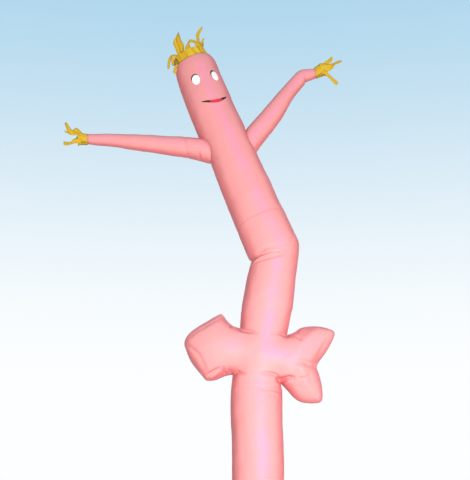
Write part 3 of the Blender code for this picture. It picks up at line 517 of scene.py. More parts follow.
HAIR_BEHIND = (
    Standing(62, 0.070, 0.070, 0.010, 0.010), Standing(98, 0.066, 0.100, 0.030, -0.010),
    Standing(128, 0.072, 0.070, 0.034, 0.014), Standing(156, 0.064, 0.094, 0.044, -0.016),
    Standing(188, 0.074, 0.062, 0.036, 0.006), Standing(214, 0.066, 0.088, 0.050, 0.018),
    Standing(244, 0.070, 0.054, 0.040, -0.010), Standing(272, 0.060, 0.040, 0.020, 0.004),
    Standing(8, 0.080, 0.020, 0.000, 0.000), Standing(-34, 0.080, 0.026, 0.000, 0.000),
    Standing(34, 0.076, 0.022, 0.000, 0.000),
)
LEFT_FINGERS = (
    Strip(0.012, 0.008, 0.5, (
        Cut(0.056, 0.056, 0.010, 0.060, 0.034), Cut(0.073, 0.096, 0.030, 0.108, 0.034),
        Cut(0.084, 0.149, 0.031, 0.160, 0.032), Cut(0.110, 0.170, 0.054, 0.183, 0.030),
        Cut(0.144, 0.191, 0.099, 0.202, 0.028), Cut(0.166, 0.210, 0.154, 0.223, 0.026))),
    Strip(0.005, 0.0, 0.5, (
        Cut(0.080, 0.140, 0.046, 0.150, 0.024), Cut(0.074, 0.190, 0.052, 0.188, 0.022),
        Cut(0.084, 0.214, 0.064, 0.212, 0.020), Cut(0.083, 0.222, 0.072, 0.221, 0.018))),
    Strip(0.014, 0.0, 0.5, (
        Cut(0.050, 0.052, 0.050, 0.116, 0.040), Cut(0.074, 0.074, 0.068, 0.140, 0.042),
        Cut(0.092, 0.092, 0.084, 0.136, 0.038), Cut(0.103, 0.108, 0.098, 0.124, 0.032))),
    Strip(0.012, -0.008, 0.45, (
        Cut(0.014, 0.060, -0.054, 0.060, 0.034), Cut(0.002, 0.107, -0.054, 0.100, 0.034),
        Cut(-0.009, 0.131, -0.053, 0.130, 0.034), Cut(-0.034, 0.156, -0.061, 0.156, 0.032),
        Cut(-0.036, 0.190, -0.069, 0.190, 0.030), Cut(-0.027, 0.227, -0.064, 0.225, 0.028))),
)
LEFT_BEHIND = (
    Standing(100, 0.034, 0.036, 0.006, 0.0), Standing(150, 0.040, 0.052, 0.008, 0.006),
    Standing(196, 0.040, 0.034, 0.006, -0.004), Standing(250, 0.030, 0.026, 0.004, 0.0),
)
RIGHT_FINGERS = (
    Strip(0.006, 0.004, 0.3, (
        Cut(-0.082, 0.056, -0.030, 0.070, 0.030), Cut(-0.077, 0.100, -0.048, 0.122, 0.030),
        Cut(-0.096, 0.134, -0.063, 0.160, 0.028), Cut(-0.110, 0.162, -0.078, 0.188, 0.026),
        Cut(-0.122, 0.183, -0.104, 0.202, 0.024), Cut(-0.133, 0.201, -0.131, 0.204, 0.022))),
    Strip(0.014, 0.014, 0.70, (
        Cut(-0.078, 0.060, 0.037, 0.060, 0.044), Cut(-0.071, 0.105, 0.030, 0.108, 0.042),
        Cut(-0.060, 0.140, 0.018, 0.148, 0.038), Cut(-0.054, 0.165, -0.003, 0.182, 0.034),
        Cut(-0.057, 0.194, -0.029, 0.201, 0.030), Cut(-0.066, 0.229, -0.040, 0.230, 0.028),
        Cut(-0.075, 0.262, -0.048, 0.266, 0.026), Cut(-0.070, 0.281, -0.058, 0.284, 0.024))),
    Strip(0.008, 0.005, 0.5, (
        Cut(0.000, 0.078, 0.036, 0.056, 0.046), Cut(0.020, 0.110, 0.042, 0.080, 0.046),
        Cut(0.046, 0.123, 0.068, 0.095, 0.044), Cut(0.093, 0.152, 0.105, 0.123, 0.040),
        Cut(0.126, 0.178, 0.150, 0.146, 0.036), Cut(0.150, 0.192, 0.173, 0.165, 0.034),
        Cut(0.160, 0.193, 0.175, 0.180, 0.032))),
)
RIGHT_BEHIND = (
    Standing(96, 0.036, 0.050, 0.008, 0.0), Standing(140, 0.040, 0.036, 0.006, 0.004),
    Standing(186, 0.042, 0.064, 0.010, -0.006), Standing(232, 0.038, 0.040, 0.006, 0.0),
)


class Cuff(NamedTuple):
    """A ring of a cuff: how far along it is, its middle across the arm, and its half sizes."""
    along: float
    across: float
    half_width: float
    depth: float


LEFT_CUFF = (
    Cuff(0.0004, 0.000, 0.0508, 0.0506), Cuff(0.012, -0.001, 0.0530, 0.0520),
    Cuff(0.034, 0.000, 0.0525, 0.0520), Cuff(0.056, 0.005, 0.0565, 0.0530),
    Cuff(0.080, 0.009, 0.0620, 0.0520),
)
RIGHT_CUFF = (
    Cuff(0.0004, 0.000, 0.0520, 0.0508), Cuff(0.014, -0.005, 0.0545, 0.0520),
    Cuff(0.032, -0.011, 0.0560, 0.0530), Cuff(0.056, -0.018, 0.0590, 0.0540),
    Cuff(0.080, -0.021, 0.0580, 0.0520),
)
CUFF_SIDES = 64
CUFF_WRINKLE = 0.0020
CUFF_SEED = 0.7
CUFF_SMOOTH = 0.02
FINGER_BAND = (0.0006, 0.005, 0.010)   # rings of the band beyond the cuff's edge


def linear(hex_colour):
    """An sRGB hex colour as Blender's linear values."""
    parts = [int(hex_colour[i:i + 2], 16) / 255 for i in (0, 2, 4)]
    return [c / 12.92 if c <= 0.04045 else ((c + 0.055) / 1.055) ** 2.4 for c in parts] + [1.0]


def unit(vectors):
    return vectors / np.maximum(np.linalg.norm(vectors, axis=-1, keepdims=True), TINY)


def spline(table, places):
    """A table's values on the smooth curve through its rows, at places counted in rows."""
    table = np.asarray(table, dtype=float)
    ends = np.vstack([2 * table[0] - table[1], table, 2 * table[-1] - table[-2]])
    i = np.clip(np.floor(places).astype(int), 0, len(table) - 2)
    t = (places - i)[:, None]
    a, b, c, d = ends[i], ends[i + 1], ends[i + 2], ends[i + 3]
    return 0.5 * (2 * b + (c - a) * t + (2 * a - 5 * b + 4 * c - d) * t ** 2
                  + (3 * b - a - 3 * c + d) * t ** 3)


class Frames(NamedTuple):
    """Sections of a tube: where each lies, its directions and its half sizes."""
    middle: np.ndarray
    across: np.ndarray
    front: np.ndarray
    along: np.ndarray
    half_width: np.ndarray
    depth: np.ndarray
    fold: np.ndarray


def tube_frames(rows, places):
    places = np.asarray(places, dtype=float)
    here, before, after = (spline(rows, places + step)
                           for step in (0.0, -DIRECTION_STEP, DIRECTION_STEP))
    middle, low, high = (np.column_stack([(r[:, 0] + r[:, 2]) / 2, r[:, 4],
                                          (r[:, 1] + r[:, 3]) / 2])
                         for r in (here, before, after))
    side = np.column_stack([here[:, 2] - here[:, 0], np.zeros(len(here)),
                            here[:, 3] - here[:, 1]])
    across = unit(side)
    front = unit(np.cross(across, high - low))
    return Frames(middle, across, front, np.cross(front, across),
                  np.linalg.norm(side, axis=1) / 2, here[:, 5], here[:, 6])


def narrowed(frames, amount):
    return frames._replace(half_width=frames.half_width - amount, depth=frames.depth - amount)


def ring_points(frames, turns):
    """Points on each section at each turn from its front, and the directions out of the cloth."""
    way = np.where(frames.fold < 0, -1.0, 1.0)[:, None]
    inside_turn = np.clip(-way * np.sin(turns + way * FOLD_TURN), 0, None)
    fold = np.abs(frames.fold)[:, None] * inside_turn ** 1.5
    width = frames.half_width[:, None] - fold
    depth = frames.depth[:, None] - fold
    side = np.sin(turns)
    ahead = np.cos(turns)
    across = frames.across[:, None]
    front = frames.front[:, None]
    points = (frames.middle[:, None] + across * (width * side)[..., None]
              + front * (depth * ahead)[..., None])
    out = unit(across * (depth * side)[..., None] + front * (width * ahead)[..., None])
    return points, out


def smooth_step(value):
    value = np.clip(value, 0, 1)
    return value * value * (3 - 2 * value)


def swell(points):
    """The slow unevenness of cloth that air holds out."""
    total = np.zeros(points.shape[:-1])
    for wave in WAVES:
        total += wave.height * np.sin(points @ np.array([wave.x, wave.y, wave.z]) + wave.start)
    return total


def line_distance(places, line):
    """How far each place is from an open line, and the share of the line that it lies at."""
    fine = spline(line, np.linspace(0, len(line) - 1, 4 * len(line)))
    best = np.full(len(places), np.inf)
    share = np.zeros(len(places))
    for i, (a, b) in enumerate(zip(fine, fine[1:])):
        run = b - a
        t = np.clip(((places - a) @ run) / max(run @ run, TINY), 0, 1)
        gap = np.linalg.norm(places - a - t[:, None] * run, axis=1)
        nearer = gap < best
        best = np.where(nearer, gap, best)
        share = np.where(nearer, (i + t) / (len(fine) - 1), share)
    return best, share


def crease_depth(points, out):
    """How far the creases pull the cloth in, on the side that faces the viewer."""
    flat = points.reshape(-1, 3)
    facing = smooth_step(-out.reshape(-1, 3)[:, 1] * FACING_SLOPE + FACING_START)
    total = np.zeros(len(flat))
    for crease in CREASES:
        line = np.array(crease.line)
        reach = CREASE_REACH * crease.width
        low, high = line.min(axis=0) - reach, line.max(axis=0) + reach
        near = ((flat[:, 0] > low[0]) & (flat[:, 0] < high[0])
                & (flat[:, 2] > low[1]) & (flat[:, 2] < high[1]) & (facing > 0))
        if not near.any():
            continue
        gap, share = line_distance(flat[near][:, (0, 2)], line)
        held = np.clip(share, *CREASE_FADE)
        fade = (4 * held * (1 - held)) ** 0.5
        valley = np.exp2(-(gap / crease.width) ** 2)
        lip = np.exp2(-((gap - LIP_AT * crease.width) / (LIP_WIDTH * crease.width)) ** 2)
        total[near] += crease.depth * fade * (valley - LIP_SHARE * lip) * facing[near]
    return total.reshape(points.shape[:-1])


def seam_depth(turns, distance, seam):
    """How far a sewn edge and the small gathers that run out from it pull the cloth in."""
    seed = seam.seed
    wave = np.sin(seam.count * turns + 1.9 * np.sin(3 * turns + seed)
                  + 1.3 * np.sin(7 * turns + 2 * seed))
    strength = 0.55 + 0.45 * np.sin(2 * turns + 1.7 * seed) * np.sin(5 * turns - seed)
    reach = PUCKER_REACH * (0.75 + 0.45 * np.sin(4 * turns + 3 * seed))
    gathers = PUCKER_HEIGHT * seam.gather * strength * (0.5 + 0.5 * wave) ** 2
    return (seam.sink * np.exp(-(distance / SEAM_REACH) ** 2)
            + gathers * np.exp(-distance / reach))


def tube_distance(points, rows, places):
    """How far points are outside a tube, and the turn round it that they lie at."""
    frames = tube_frames(rows, places)
    flat = points.reshape(-1, 3)
    gap = flat[:, None] - frames.middle[None]
    lengthwise = np.abs(np.einsum("nsd,sd->ns", gap, frames.along))
    i = np.argmin(lengthwise, axis=1)
    own = gap[np.arange(len(flat)), i]
    side = np.einsum("nd,nd->n", own, frames.across[i]) / frames.half_width[i]
    ahead = np.einsum("nd,nd->n", own, frames.front[i]) / frames.depth[i]
    distance = (np.hypot(side, ahead) - 1) * (frames.half_width[i] + frames.depth[i]) / 2
    distance = np.where(lengthwise[np.arange(len(flat)), i] > PAST_END, FAR, distance)
    return distance.reshape(points.shape[:-1]), np.arctan2(side, ahead).reshape(points.shape[:-1])


class Sheet(NamedTuple):
    """A cloth surface before it gets its thickness."""
    points: np.ndarray       # (n, 3)
    faces: list
    cloth: np.ndarray        # (n, 2) metres on the cloth
    seam: np.ndarray         # metres to the nearest sewn edge
    wrap: float = 0.0        # the tube's way round, where its first and last columns meet


def tube_faces(rows, sides):
    faces = []
    for r in range(rows - 1):
        for k in range(sides):
            a, b = r * sides + k, r * sides + (k + 1) % sides
            faces.append((a, b, b + sides, a + sides))
    return faces


def grid_faces(rows, columns):
    return [(r * columns + k, r * columns + k + 1, (r + 1) * columns + k + 1, (r + 1) * columns + k)
            for r in range(rows - 1) for k in range(columns - 1)]


def joined(sheets):
    """Several sheets as one."""
    shift = 0
    faces = []
    for sheet in sheets:
        faces += [tuple(i + shift for i in f) for f in sheet.faces]
        shift += len(sheet.points)
    return Sheet(np.vstack([s.points for s in sheets]), faces,
                 np.vstack([s.cloth for s in sheets]), np.concatenate([s.seam for s in sheets]))


def cloth_object(name, sheet, material, thickness=CLOTH, offset=-1.0, rounding=0):
    """A mesh object of a sheet with its thickness, its place on the cloth and its seams."""
    mesh = bpy.data.meshes.new(name)
    mesh.from_pydata((sheet.points + BASE).tolist(), [], sheet.faces)
    corner = np.empty(len(mesh.loops), dtype=np.int32)
    mesh.loops.foreach_get("vertex_index", corner)
    place = sheet.cloth[corner]
    if sheet.wrap:
        starts = np.repeat(place.reshape(-1, 4, 2)[:, :, 0].max(axis=1), 4)
        place[(place[:, 0] < starts - sheet.wrap / 2), 0] += sheet.wrap
    mesh.uv_layers.new(name="cloth").data.foreach_set("uv", place.astype(np.float32).ravel())
    mesh.attributes.new("seam", "FLOAT", "POINT").data.foreach_set(
        "value", sheet.seam.astype(np.float32))
    outward = np.empty(3 * len(mesh.vertices), dtype=np.float32)
    mesh.vertex_normals.foreach_get("vector", outward)
    mesh.attributes.new("outward", "FLOAT_VECTOR", "POINT").data.foreach_set("vector", outward)
    mesh.materials.append(material)
    item = bpy.data.objects.new(name, mesh)
    bpy.context.scene.collection.objects.link(item)
    if rounding:
        applied(item, "SUBSURF", levels=rounding, render_levels=rounding)
    applied(item, "SOLIDIFY", thickness=thickness, offset=offset)
    item.data.shade_smooth()
    item.data.set_sharp_from_angle(angle=math.radians(50))
    return item


def applied(item, kind, **settings):
    """A modifier put on an object and applied."""
    step = item.modifiers.new(kind.lower(), kind)
    for key, value in settings.items():
        setattr(step, key, value)
    bpy.context.view_layer.objects.active = item
    bpy.ops.object.modifier_apply(modifier=step.name)


def lengths_along(rows, start, end):
    """Rings' places on a table, and how many metres along the panel each is."""
    dense = np.linspace(start, end, LENGTH_SAMPLES)
    middle = tube_frames(rows, dense).middle
    length = np.concatenate([[0], np.cumsum(np.linalg.norm(np.diff(middle, axis=0), axis=1))])
    total = length[-1]
    even = np.linspace(0, total, round(total / ROW_STEP) + 1)
    near_ends = [*END_RINGS, *(total - gap for gap in END_RINGS)]
    metres = np.unique(np.concatenate([even, near_ends]))
    return np.interp(metres, length, dense), metres


def even_turns(sides):
    return np.arange(sides) * 2 * math.pi / sides - math.pi


def tube_sheet(rows, start, end, sides, seams, pulls=(), hem=False):
    """A panel of tube: its two sewn edges, or None for an edge that isn't sewn."""
    places, metres = lengths_along(rows, start, end)
    frames = tube_frames(rows, places)
    turns = even_turns(sides)
    points, out = ring_points(frames, turns)
    relief = swell(points) - crease_depth(points, out)
    radius = frames.half_width.mean()
    back_seam = (math.pi - np.abs(turns)) * radius
    relief -= LENGTH_SEAM_SINK * np.exp(-(back_seam / SEAM_REACH) ** 2)
    nearest = np.minimum(back_seam, np.full((len(places), 1), FAR))
    for seam, distance in zip(seams, (metres, metres[-1] - metres)):
        if seam is None:
            continue
        relief -= seam_depth(turns, distance[:, None], seam)
        nearest = np.minimum(nearest, distance[:, None] + (0.0 if seam.marked else FAR))
    for other, other_places, seam in pulls:
        distance, turn = tube_distance(points, other, other_places)
        distance = np.abs(distance)
        relief -= seam_depth(turn, distance, seam)
        nearest = np.minimum(nearest, distance)
    if hem:
        relief += HEM_EXTRA * smooth_step((HEM_HEIGHT + HEM_EDGE / 2 - metres) / HEM_EDGE)[:, None]
        nearest = np.minimum(nearest, np.abs(metres - HEM_HEIGHT + HEM_EDGE)[:, None])
    points = points + out * relief[..., None]
    if hem:
        points[0, :, 2] = 0.0
    points[0] += frames.along[0] * (SEAM_GAP / 2 if seams[0] else 0.0)
    points[-1] -= frames.along[-1] * (SEAM_GAP / 2 if seams[1] else 0.0)
    cloth = np.stack(np.broadcast_arrays((turns + math.pi)[None] * radius, metres[:, None]), axis=-1)
    return Sheet(points.reshape(-1, 3), tube_faces(len(places), sides), cloth.reshape(-1, 2),
                 nearest.ravel(), 2 * math.pi * radius)


def plug(name, points, sides, rings):
    """A closed solid through a tube's rings, used only to cut others."""
    faces = tube_faces(rings, sides)
    faces.append(tuple(reversed(range(sides))))
    faces.append(tuple(range((rings - 1) * sides, rings * sides)))
    mesh = bpy.data.meshes.new(name)
    mesh.from_pydata((points + BASE).tolist(), [], faces)
    item = bpy.data.objects.new(name, mesh)
    bpy.context.scene.collection.objects.link(item)
    return item


def grown(rows, start, end, sides, sheet, amount):
    """A tube's sheet moved out or in along its own directions."""
    places, _ = lengths_along(rows, start, end)
    _, out = ring_points(tube_frames(rows, places), even_turns(sides))
    return sheet.points + out.reshape(-1, 3) * amount, len(places)


def cut_by(item, cutter):
    applied(item, "BOOLEAN", operation="DIFFERENCE", solver="EXACT", object=cutter)


def spaced_outline(points, step):
    """Points about a step apart on a smooth open curve through the given ones."""
    fine = spline(points, np.linspace(0, len(points) - 1, 12 * len(points)))
    length = np.concatenate([[0], np.cumsum(np.linalg.norm(np.diff(fine, axis=0), axis=1))])
    places = np.linspace(0, length[-1], max(2, round(length[-1] / step)) + 1)
    return np.column_stack([np.interp(places, length, fine[:, i]) for i in (0, 1)])


def end_line(section):
    """Points on a tube's end seen from the front, even round the tube."""
    middle = (section.left_x + section.right_x) / 2
    width = (section.right_x - section.left_x) / 2
    turns = np.linspace(-math.pi / 2, math.pi / 2, ARROW_END_SIDES + 1)
    return np.column_stack([middle + width * np.sin(turns), np.full(len(turns), section.left_z)])


def arrow_outline():
    """The closed outline of arrow and tube, and which points are the corners of the tube."""
    low, high = end_line(LEG[-1]), end_line(BODY[0])[::-1]
    tail = spaced_outline(ARROW_TAIL, OUTLINE_STEP)[::-1]
    head = spaced_outline(ARROW_HEAD, OUTLINE_STEP)[::-1]
    points = np.vstack([low, tail, high, head])
    start = len(low) + len(tail)
    corners = (len(points) - 1, len(low), start - 1, start + len(high))
    return points, corners


def inside(points, polygon):
    x, z = points[:, 0], points[:, 1]
    result = np.zeros(len(points), dtype=bool)
    for (ax, az), (bx, bz) in zip(polygon, np.roll(polygon, -1, axis=0)):
        crosses = (az > z) != (bz > z)
        if abs(bz - az) > 1e-9:
            result ^= crosses & (x < (bx - ax) * (z - az) / (bz - az) + ax)
    return result


def chain_distance(points, chain):
    """How far each point is from an open chain, and how many metres along the chain."""
    best = np.full(len(points), np.inf)
    metres = np.zeros(len(points))
    done = 0.0
    for a, b in zip(chain, chain[1:]):
        run = b - a
        length = np.linalg.norm(run)
        share = np.clip(((points - a) @ run) / max(run @ run, TINY), 0, 1)
        gap = np.linalg.norm(points - a - share[:, None] * run, axis=1)
        nearer = gap < best
        best = np.where(nearer, gap, best)
        metres = np.where(nearer, done + share * length, metres)
        done += length
    return best, metres


def thinned(points, kept, gap):
    """The points that are at least a gap from the kept ones and from each other."""
    chosen = np.array(kept).reshape(-1, 2)
    out = []
    for p in points:
        if len(chosen) == 0 or np.min(np.linalg.norm(chosen - p, axis=1)) >= gap:
            chosen = np.vstack([chosen, p])
            out.append(p)
    return np.array(out).reshape(-1, 2)


def arrow_points(outline):
    """Points inside the outline: rows along its edge, then an even grid."""
    closed = np.vstack([outline, outline[:1]])
    run = np.roll(outline, -1, axis=0) - np.roll(outline, 1, axis=0)
    inward = unit(np.column_stack([-run[:, 1], run[:, 0]]))
    inner = np.empty((0, 2))
    for offset in EDGE_LOOPS:
        loop = outline + inward * offset
        loop = loop[inside(loop, outline)]
        loop = loop[chain_distance(loop, closed)[0] > LOOP_KEEP * offset]
        inner = np.vstack([inner, thinned(loop, inner, EVEN_MERGE * offset)])
    low, high = outline.min(axis=0), outline.max(axis=0)
    row_step = GRID_STEP * math.sqrt(3) / 2
    grid = np.array([(low[0] + (c + 0.5 * (r % 2)) * GRID_STEP, low[1] + r * row_step)
                     for r in range(int((high[1] - low[1]) / row_step) + 1)
                     for c in range(int((high[0] - low[0]) / GRID_STEP) + 1)])
    grid = grid[inside(grid, outline)]
    grid = grid[chain_distance(grid, closed)[0] > EDGE_LOOPS[-1] + GRID_CLEAR * GRID_STEP]
    return np.vstack([inner, thinned(grid, inner, EVEN_MERGE * GRID_STEP)])


def triangles(points, count, bars):
    """Triangles of the outline's inside, none of them with all its corners on the edge."""
    while True:
        edges = [(i, (i + 1) % count) for i in range(count)] + bars
        made = delaunay_2d_cdt([Vector(p) for p in points], edges, [list(range(count))], 1, 1e-7)
        faces = [tuple(f) for f in made[2]]
        if len(made[0]) != len(points):
            raise RuntimeError("the outline crosses itself")
        flat = [f for f in faces if max(f) < count]
        if not flat:
            return points, faces
        points = np.vstack([points, [np.mean(points[list(f)], axis=0) for f in flat]])


def air_height(points, faces, fixed):
    """A membrane's height over the points when air blows it out."""
    corners = np.array(faces)
    p = points[corners]
    sides = np.stack([p[:, 2] - p[:, 1], p[:, 0] - p[:, 2], p[:, 1] - p[:, 0]], axis=1)
    area = np.abs(sides[:, 0, 0] * sides[:, 1, 1] - sides[:, 0, 1] * sides[:, 1, 0]) / 2
    own = np.einsum("tid,tjd->tij", sides, sides) / (4 * area)[:, None, None]
    stiffness = np.zeros((len(points), len(points)))
    np.add.at(stiffness, (corners[:, :, None], corners[:, None, :]), own)
    load = np.zeros(len(points))
    np.add.at(load, corners, np.repeat(area[:, None] / 3, 3, axis=1))
    free = np.array(sorted(set(corners.ravel().tolist()) - set(fixed)))
    height = np.zeros(len(points))
    height[free] = np.linalg.solve(stiffness[np.ix_(free, free)], load[free])
    return np.maximum(height, 0)


def tube_behind(points):
    """The tube behind the arrow: how far forward it reaches at each point, and the turn there.

    Its sides run straight from its ends to the places where the arrow starts.
    """
    low, high = LEG[-1], BODY[0]
    heights = points[:, 1]
    left = np.interp(heights, (low.left_z, ARROW_HEAD[0][1], ARROW_HEAD[-1][1], high.left_z),
                     (low.left_x, ARROW_HEAD[0][0], ARROW_HEAD[-1][0], high.left_x))
    right = np.interp(heights, (low.right_z, ARROW_TAIL[-1][1], ARROW_TAIL[0][1], high.right_z),
                      (low.right_x, ARROW_TAIL[-1][0], ARROW_TAIL[0][0], high.right_x))
    share = (heights - low.left_z) / (high.left_z - low.left_z)
    depth = low.depth + share * (high.depth - low.depth)
    across = np.clip((2 * points[:, 0] - left - right) / (right - left), -1, 1)
    return depth * np.sqrt(1 - across ** 2), np.arcsin(across)


def refined(points, faces, values):
    """The triangles split in four, with points and values half way."""
    middles = {}
    points, values = list(points), list(values)

    def middle(a, b):
        key = (min(a, b), max(a, b))
        if key not in middles:
            middles[key] = len(points)
            points.append((points[a] + points[b]) / 2)
            values.append((values[a] + values[b]) / 2)
        return middles[key]

    split = []
    for a, b, c in faces:
        ab, bc, ca = middle(a, b), middle(b, c), middle(c, a)
        split += [(a, ab, ca), (b, bc, ab), (c, ca, bc), (ab, bc, ca)]
    return np.array(points), split, np.array(values)


def arrow_plan():
    """The arrow panel's points seen from the front, its triangles, depths and own edges."""
    outline, corners = arrow_outline()
    count = len(outline)
    ends = [outline[i] for i in corners]
    bar_count = round(np.linalg.norm(ends[1] - ends[0]) / BAR_STEP)
    low_bar = np.linspace(ends[0], ends[1], bar_count + 2)[1:-1]
    high_bar = np.linspace(ends[3], ends[2], bar_count + 2)[1:-1]
    bars = np.vstack([low_bar, high_bar])
    filled = thinned(arrow_points(outline), bars, EVEN_MERGE * BAR_STEP)
    points = np.vstack([outline, bars, filled])
    low = [corners[0], *range(count, count + bar_count), corners[1]]
    high = [corners[3], *range(count + bar_count, count + 2 * bar_count), corners[2]]
    points, faces = triangles(points, count, list(zip(low, low[1:])) + list(zip(high, high[1:])))
    tail = list(range(corners[1], corners[2] + 1))
    head = list(range(corners[3], corners[0] + 1))
    arrow = points[tail + high[::-1][1:] + head[1:] + low[1:-1]]
    middles = np.array([points[list(f)].mean(axis=0) for f in faces])
    own = [f for f, held in zip(faces, inside(middles, arrow)) if held]
    height = air_height(points, own, tail + head + low + high)
    sides = ([corners[1] - 1, *tail, corners[2] + 1], [corners[3] - 1, *head, 0])
    chains = [points[side] for side in sides]
    for _ in range(REFINEMENTS):
        points, faces, height = refined(points, faces, height)
    behind, turn = tube_behind(points)
    blown = np.sqrt(2 * height) * ARROW_FULLNESS
    depth = (blown ** BLEND + behind ** BLEND) ** (1 / BLEND)
    edge = [chain_distance(points, chain) for chain in chains]
    gap = np.minimum(edge[0][0], edge[1][0])
    metres = np.where(edge[0][0] < edge[1][0], edge[0][1], edge[1][1] + FAR)
    depth = np.where(gap < ON_EDGE, 0.0, depth)
    return points, faces, depth, turn, gap, metres


def arrow_panel(name, side, plan, material):
    """The front (side -1) or back (side 1) panel of the arrow with the tube's part between."""
    flat, faces, depth, turn, gap, metres = plan
    points = np.column_stack([flat[:, 0], side * (depth + SEAM_GAP / 2), flat[:, 1]])
    corners = np.array(faces)
    across = np.cross(points[corners[:, 1]] - points[corners[:, 0]],
                      points[corners[:, 2]] - points[corners[:, 0]])
    turned = across[:, 1] * side < 0
    corners[turned] = corners[turned][:, ::-1]
    across[turned] *= -1
    out = np.zeros_like(points)
    for k in range(3):
        np.add.at(out, corners[:, k], across)
    out = unit(out)
    low, high = flat[:, 1] - LEG[-1].left_z, BODY[0].left_z - flat[:, 1]
    turn = turn if side < 0 else math.pi - turn
    relief = swell(points) - crease_depth(points, out)
    relief -= seam_depth(turn, np.abs(low), LEG_TOP) + seam_depth(turn, np.abs(high), WAIST_LOW)
    relief -= seam_depth(metres / ARROW_PUCKER_RUN, gap, ARROW_EDGE)
    relief *= 1 - np.exp(-(gap / ARROW_EDGE_FLAT) ** 2)
    on_end = np.minimum(low, high) < ON_EDGE
    relief[on_end & (gap < ARROW_CORNER)] *= 0.5
    out[on_end, 2] = 0
    out = unit(out)
    points = points + out * relief[:, None]
    points[low < ON_EDGE, 2] += SEAM_GAP / 2
    points[high < ON_EDGE, 2] -= SEAM_GAP / 2
    sheet = Sheet(points, [tuple(f) for f in corners.tolist()], flat, gap)
    return cloth_object(name, sheet, material)


def head_points(columns, lift):
    """Points over the head's cloth, by the turn and the place along BODY of each."""
    places = np.array(columns)
    turns, rows = places[..., 0].ravel(), places[..., 1].ravel()
    points, out = ring_points(tube_frames(BODY, rows), turns[:, None])
    relief = swell(points) - crease_depth(points, out)
    return (points + out * (relief + lift)[..., None]).reshape(-1, 3)


def patch(name, columns, lift, material):
    """A flat piece of cloth sewn on the head through a grid of (turn, row) places.

    Its seam values run from 0 at its edge to 1 in its middle.
    """
    points = head_points(columns, lift)
    wide, high = len(columns), len(columns[0])
    faces = [tuple(reversed(f)) for f in grid_faces(wide, high)]
    cloth = np.array(columns).reshape(-1, 2) * (HEAD_RADIUS, row_length(EYES["left"].row))
    grid = np.arange(wide * high).reshape(wide, high)
    border = np.minimum(np.minimum(grid // high, wide - 1 - grid // high) / wide,
                        np.minimum(grid % high, high - 1 - grid % high) / high)
    sheet = Sheet(points, faces, cloth, border.ravel() * 2)
    return cloth_object(name, sheet, material, PATCH_CLOTH, 1.0)


def row_length(row):
    """Metres along the body for one row at this place."""
    frames = tube_frames(BODY, np.array([row - 0.5, row + 0.5]))
    return float(np.linalg.norm(frames.middle[1] - frames.middle[0]))


def eye_columns(eye, move=(0.0, 0.0)):
    """An oval on the head as columns of (turn, row) places."""
    radius = spline(BODY, np.array([eye.row]))[0][5]
    unit_row = row_length(eye.row)
    columns = []
    for c in range(PATCH_COLUMNS + 1):
        place = -math.cos(math.pi * c / PATCH_COLUMNS)
        tall = max(EYE_END, math.sin(math.pi * c / PATCH_COLUMNS)) * eye.half_height / unit_row
        turn = math.radians(eye.turn) + (place * eye.half_width + move[0]) / radius
        columns.append([(turn, eye.row + move[1] + tall * k)
                        for k in np.linspace(-1, 1, PATCH_ROWS + 1)])
    return columns


def mouth_columns(start, end, grow, count):
    """A stretch of the smile, from start to end as shares of its length."""
    unit_row = row_length(MOUTH_ROW)
    columns = []
    for share in np.linspace(start, end, count + 1):
        turn = math.radians(MOUTH_TURNS[0] + share * (MOUTH_TURNS[1] - MOUTH_TURNS[0]))
        row = (MOUTH_ROW - MOUTH_SAG * math.sin(math.pi * share)
               + MOUTH_LEFT_RISE * (1 - share) ** 2)
        bow = max(MOUTH_END, math.sin(math.pi * share) ** MOUTH_ROUNDING)
        tall = MOUTH_HALF * grow * bow / unit_row
        columns.append([(turn, row + tall * k) for k in np.linspace(-1, 1, MOUTH_ROWS)])
    return columns


def upright(frames):
    """Sections whose front is level, so that what hangs on them is as the viewer sees it."""
    front = np.zeros_like(frames.across)
    front[:, 1] = -1.0
    return frames._replace(front=front, along=np.cross(front, frames.across))


def placed(frame, across, along, front):
    """Points by their distances from a section's middle."""
    return (frame.middle[0] + across[..., None] * frame.across[0]
            + along[..., None] * frame.along[0] + front[..., None] * frame.front[0])


def strip_sheet(frame, strip, seed):
    """A loose strip that follows its cuts, bulged and creased across."""
    cuts = spline(strip.cuts, np.linspace(0, len(strip.cuts) - 1,
                                          STRIP_ROWS * (len(strip.cuts) - 1) + 1))
    share = np.linspace(0, 1, STRIP_COLUMNS + 1)[None]
    one_across, one_along, two_across, two_along, front = (cuts[:, k:k + 1] for k in range(5))
    across = one_across + (two_across - one_across) * share
    along = one_along + (two_along - one_along) * share
    width = np.hypot(two_across - one_across, two_along - one_along)
    full = np.minimum(1.0, width / STRIP_FULL_WIDTH)
    ripple = STRIP_RIPPLE * np.sin(RIPPLE_ALONG * along + RIPPLE_ACROSS * across + 2.1 * seed)
    front = (front + strip.bulge * full * np.sin(math.pi * share)
             - strip.fold * full * np.exp(-((share - strip.fold_at) / STRIP_FOLD_WIDTH) ** 2)
             + ripple * full)
    points = placed(frame, across, along, front)
    cloth = np.stack([share * width, np.broadcast_to(along, front.shape)], axis=-1)
    edge = np.minimum(share, 1 - share) * width
    return Sheet(points.reshape(-1, 3), grid_faces(*front.shape), cloth.reshape(-1, 2), edge.ravel())


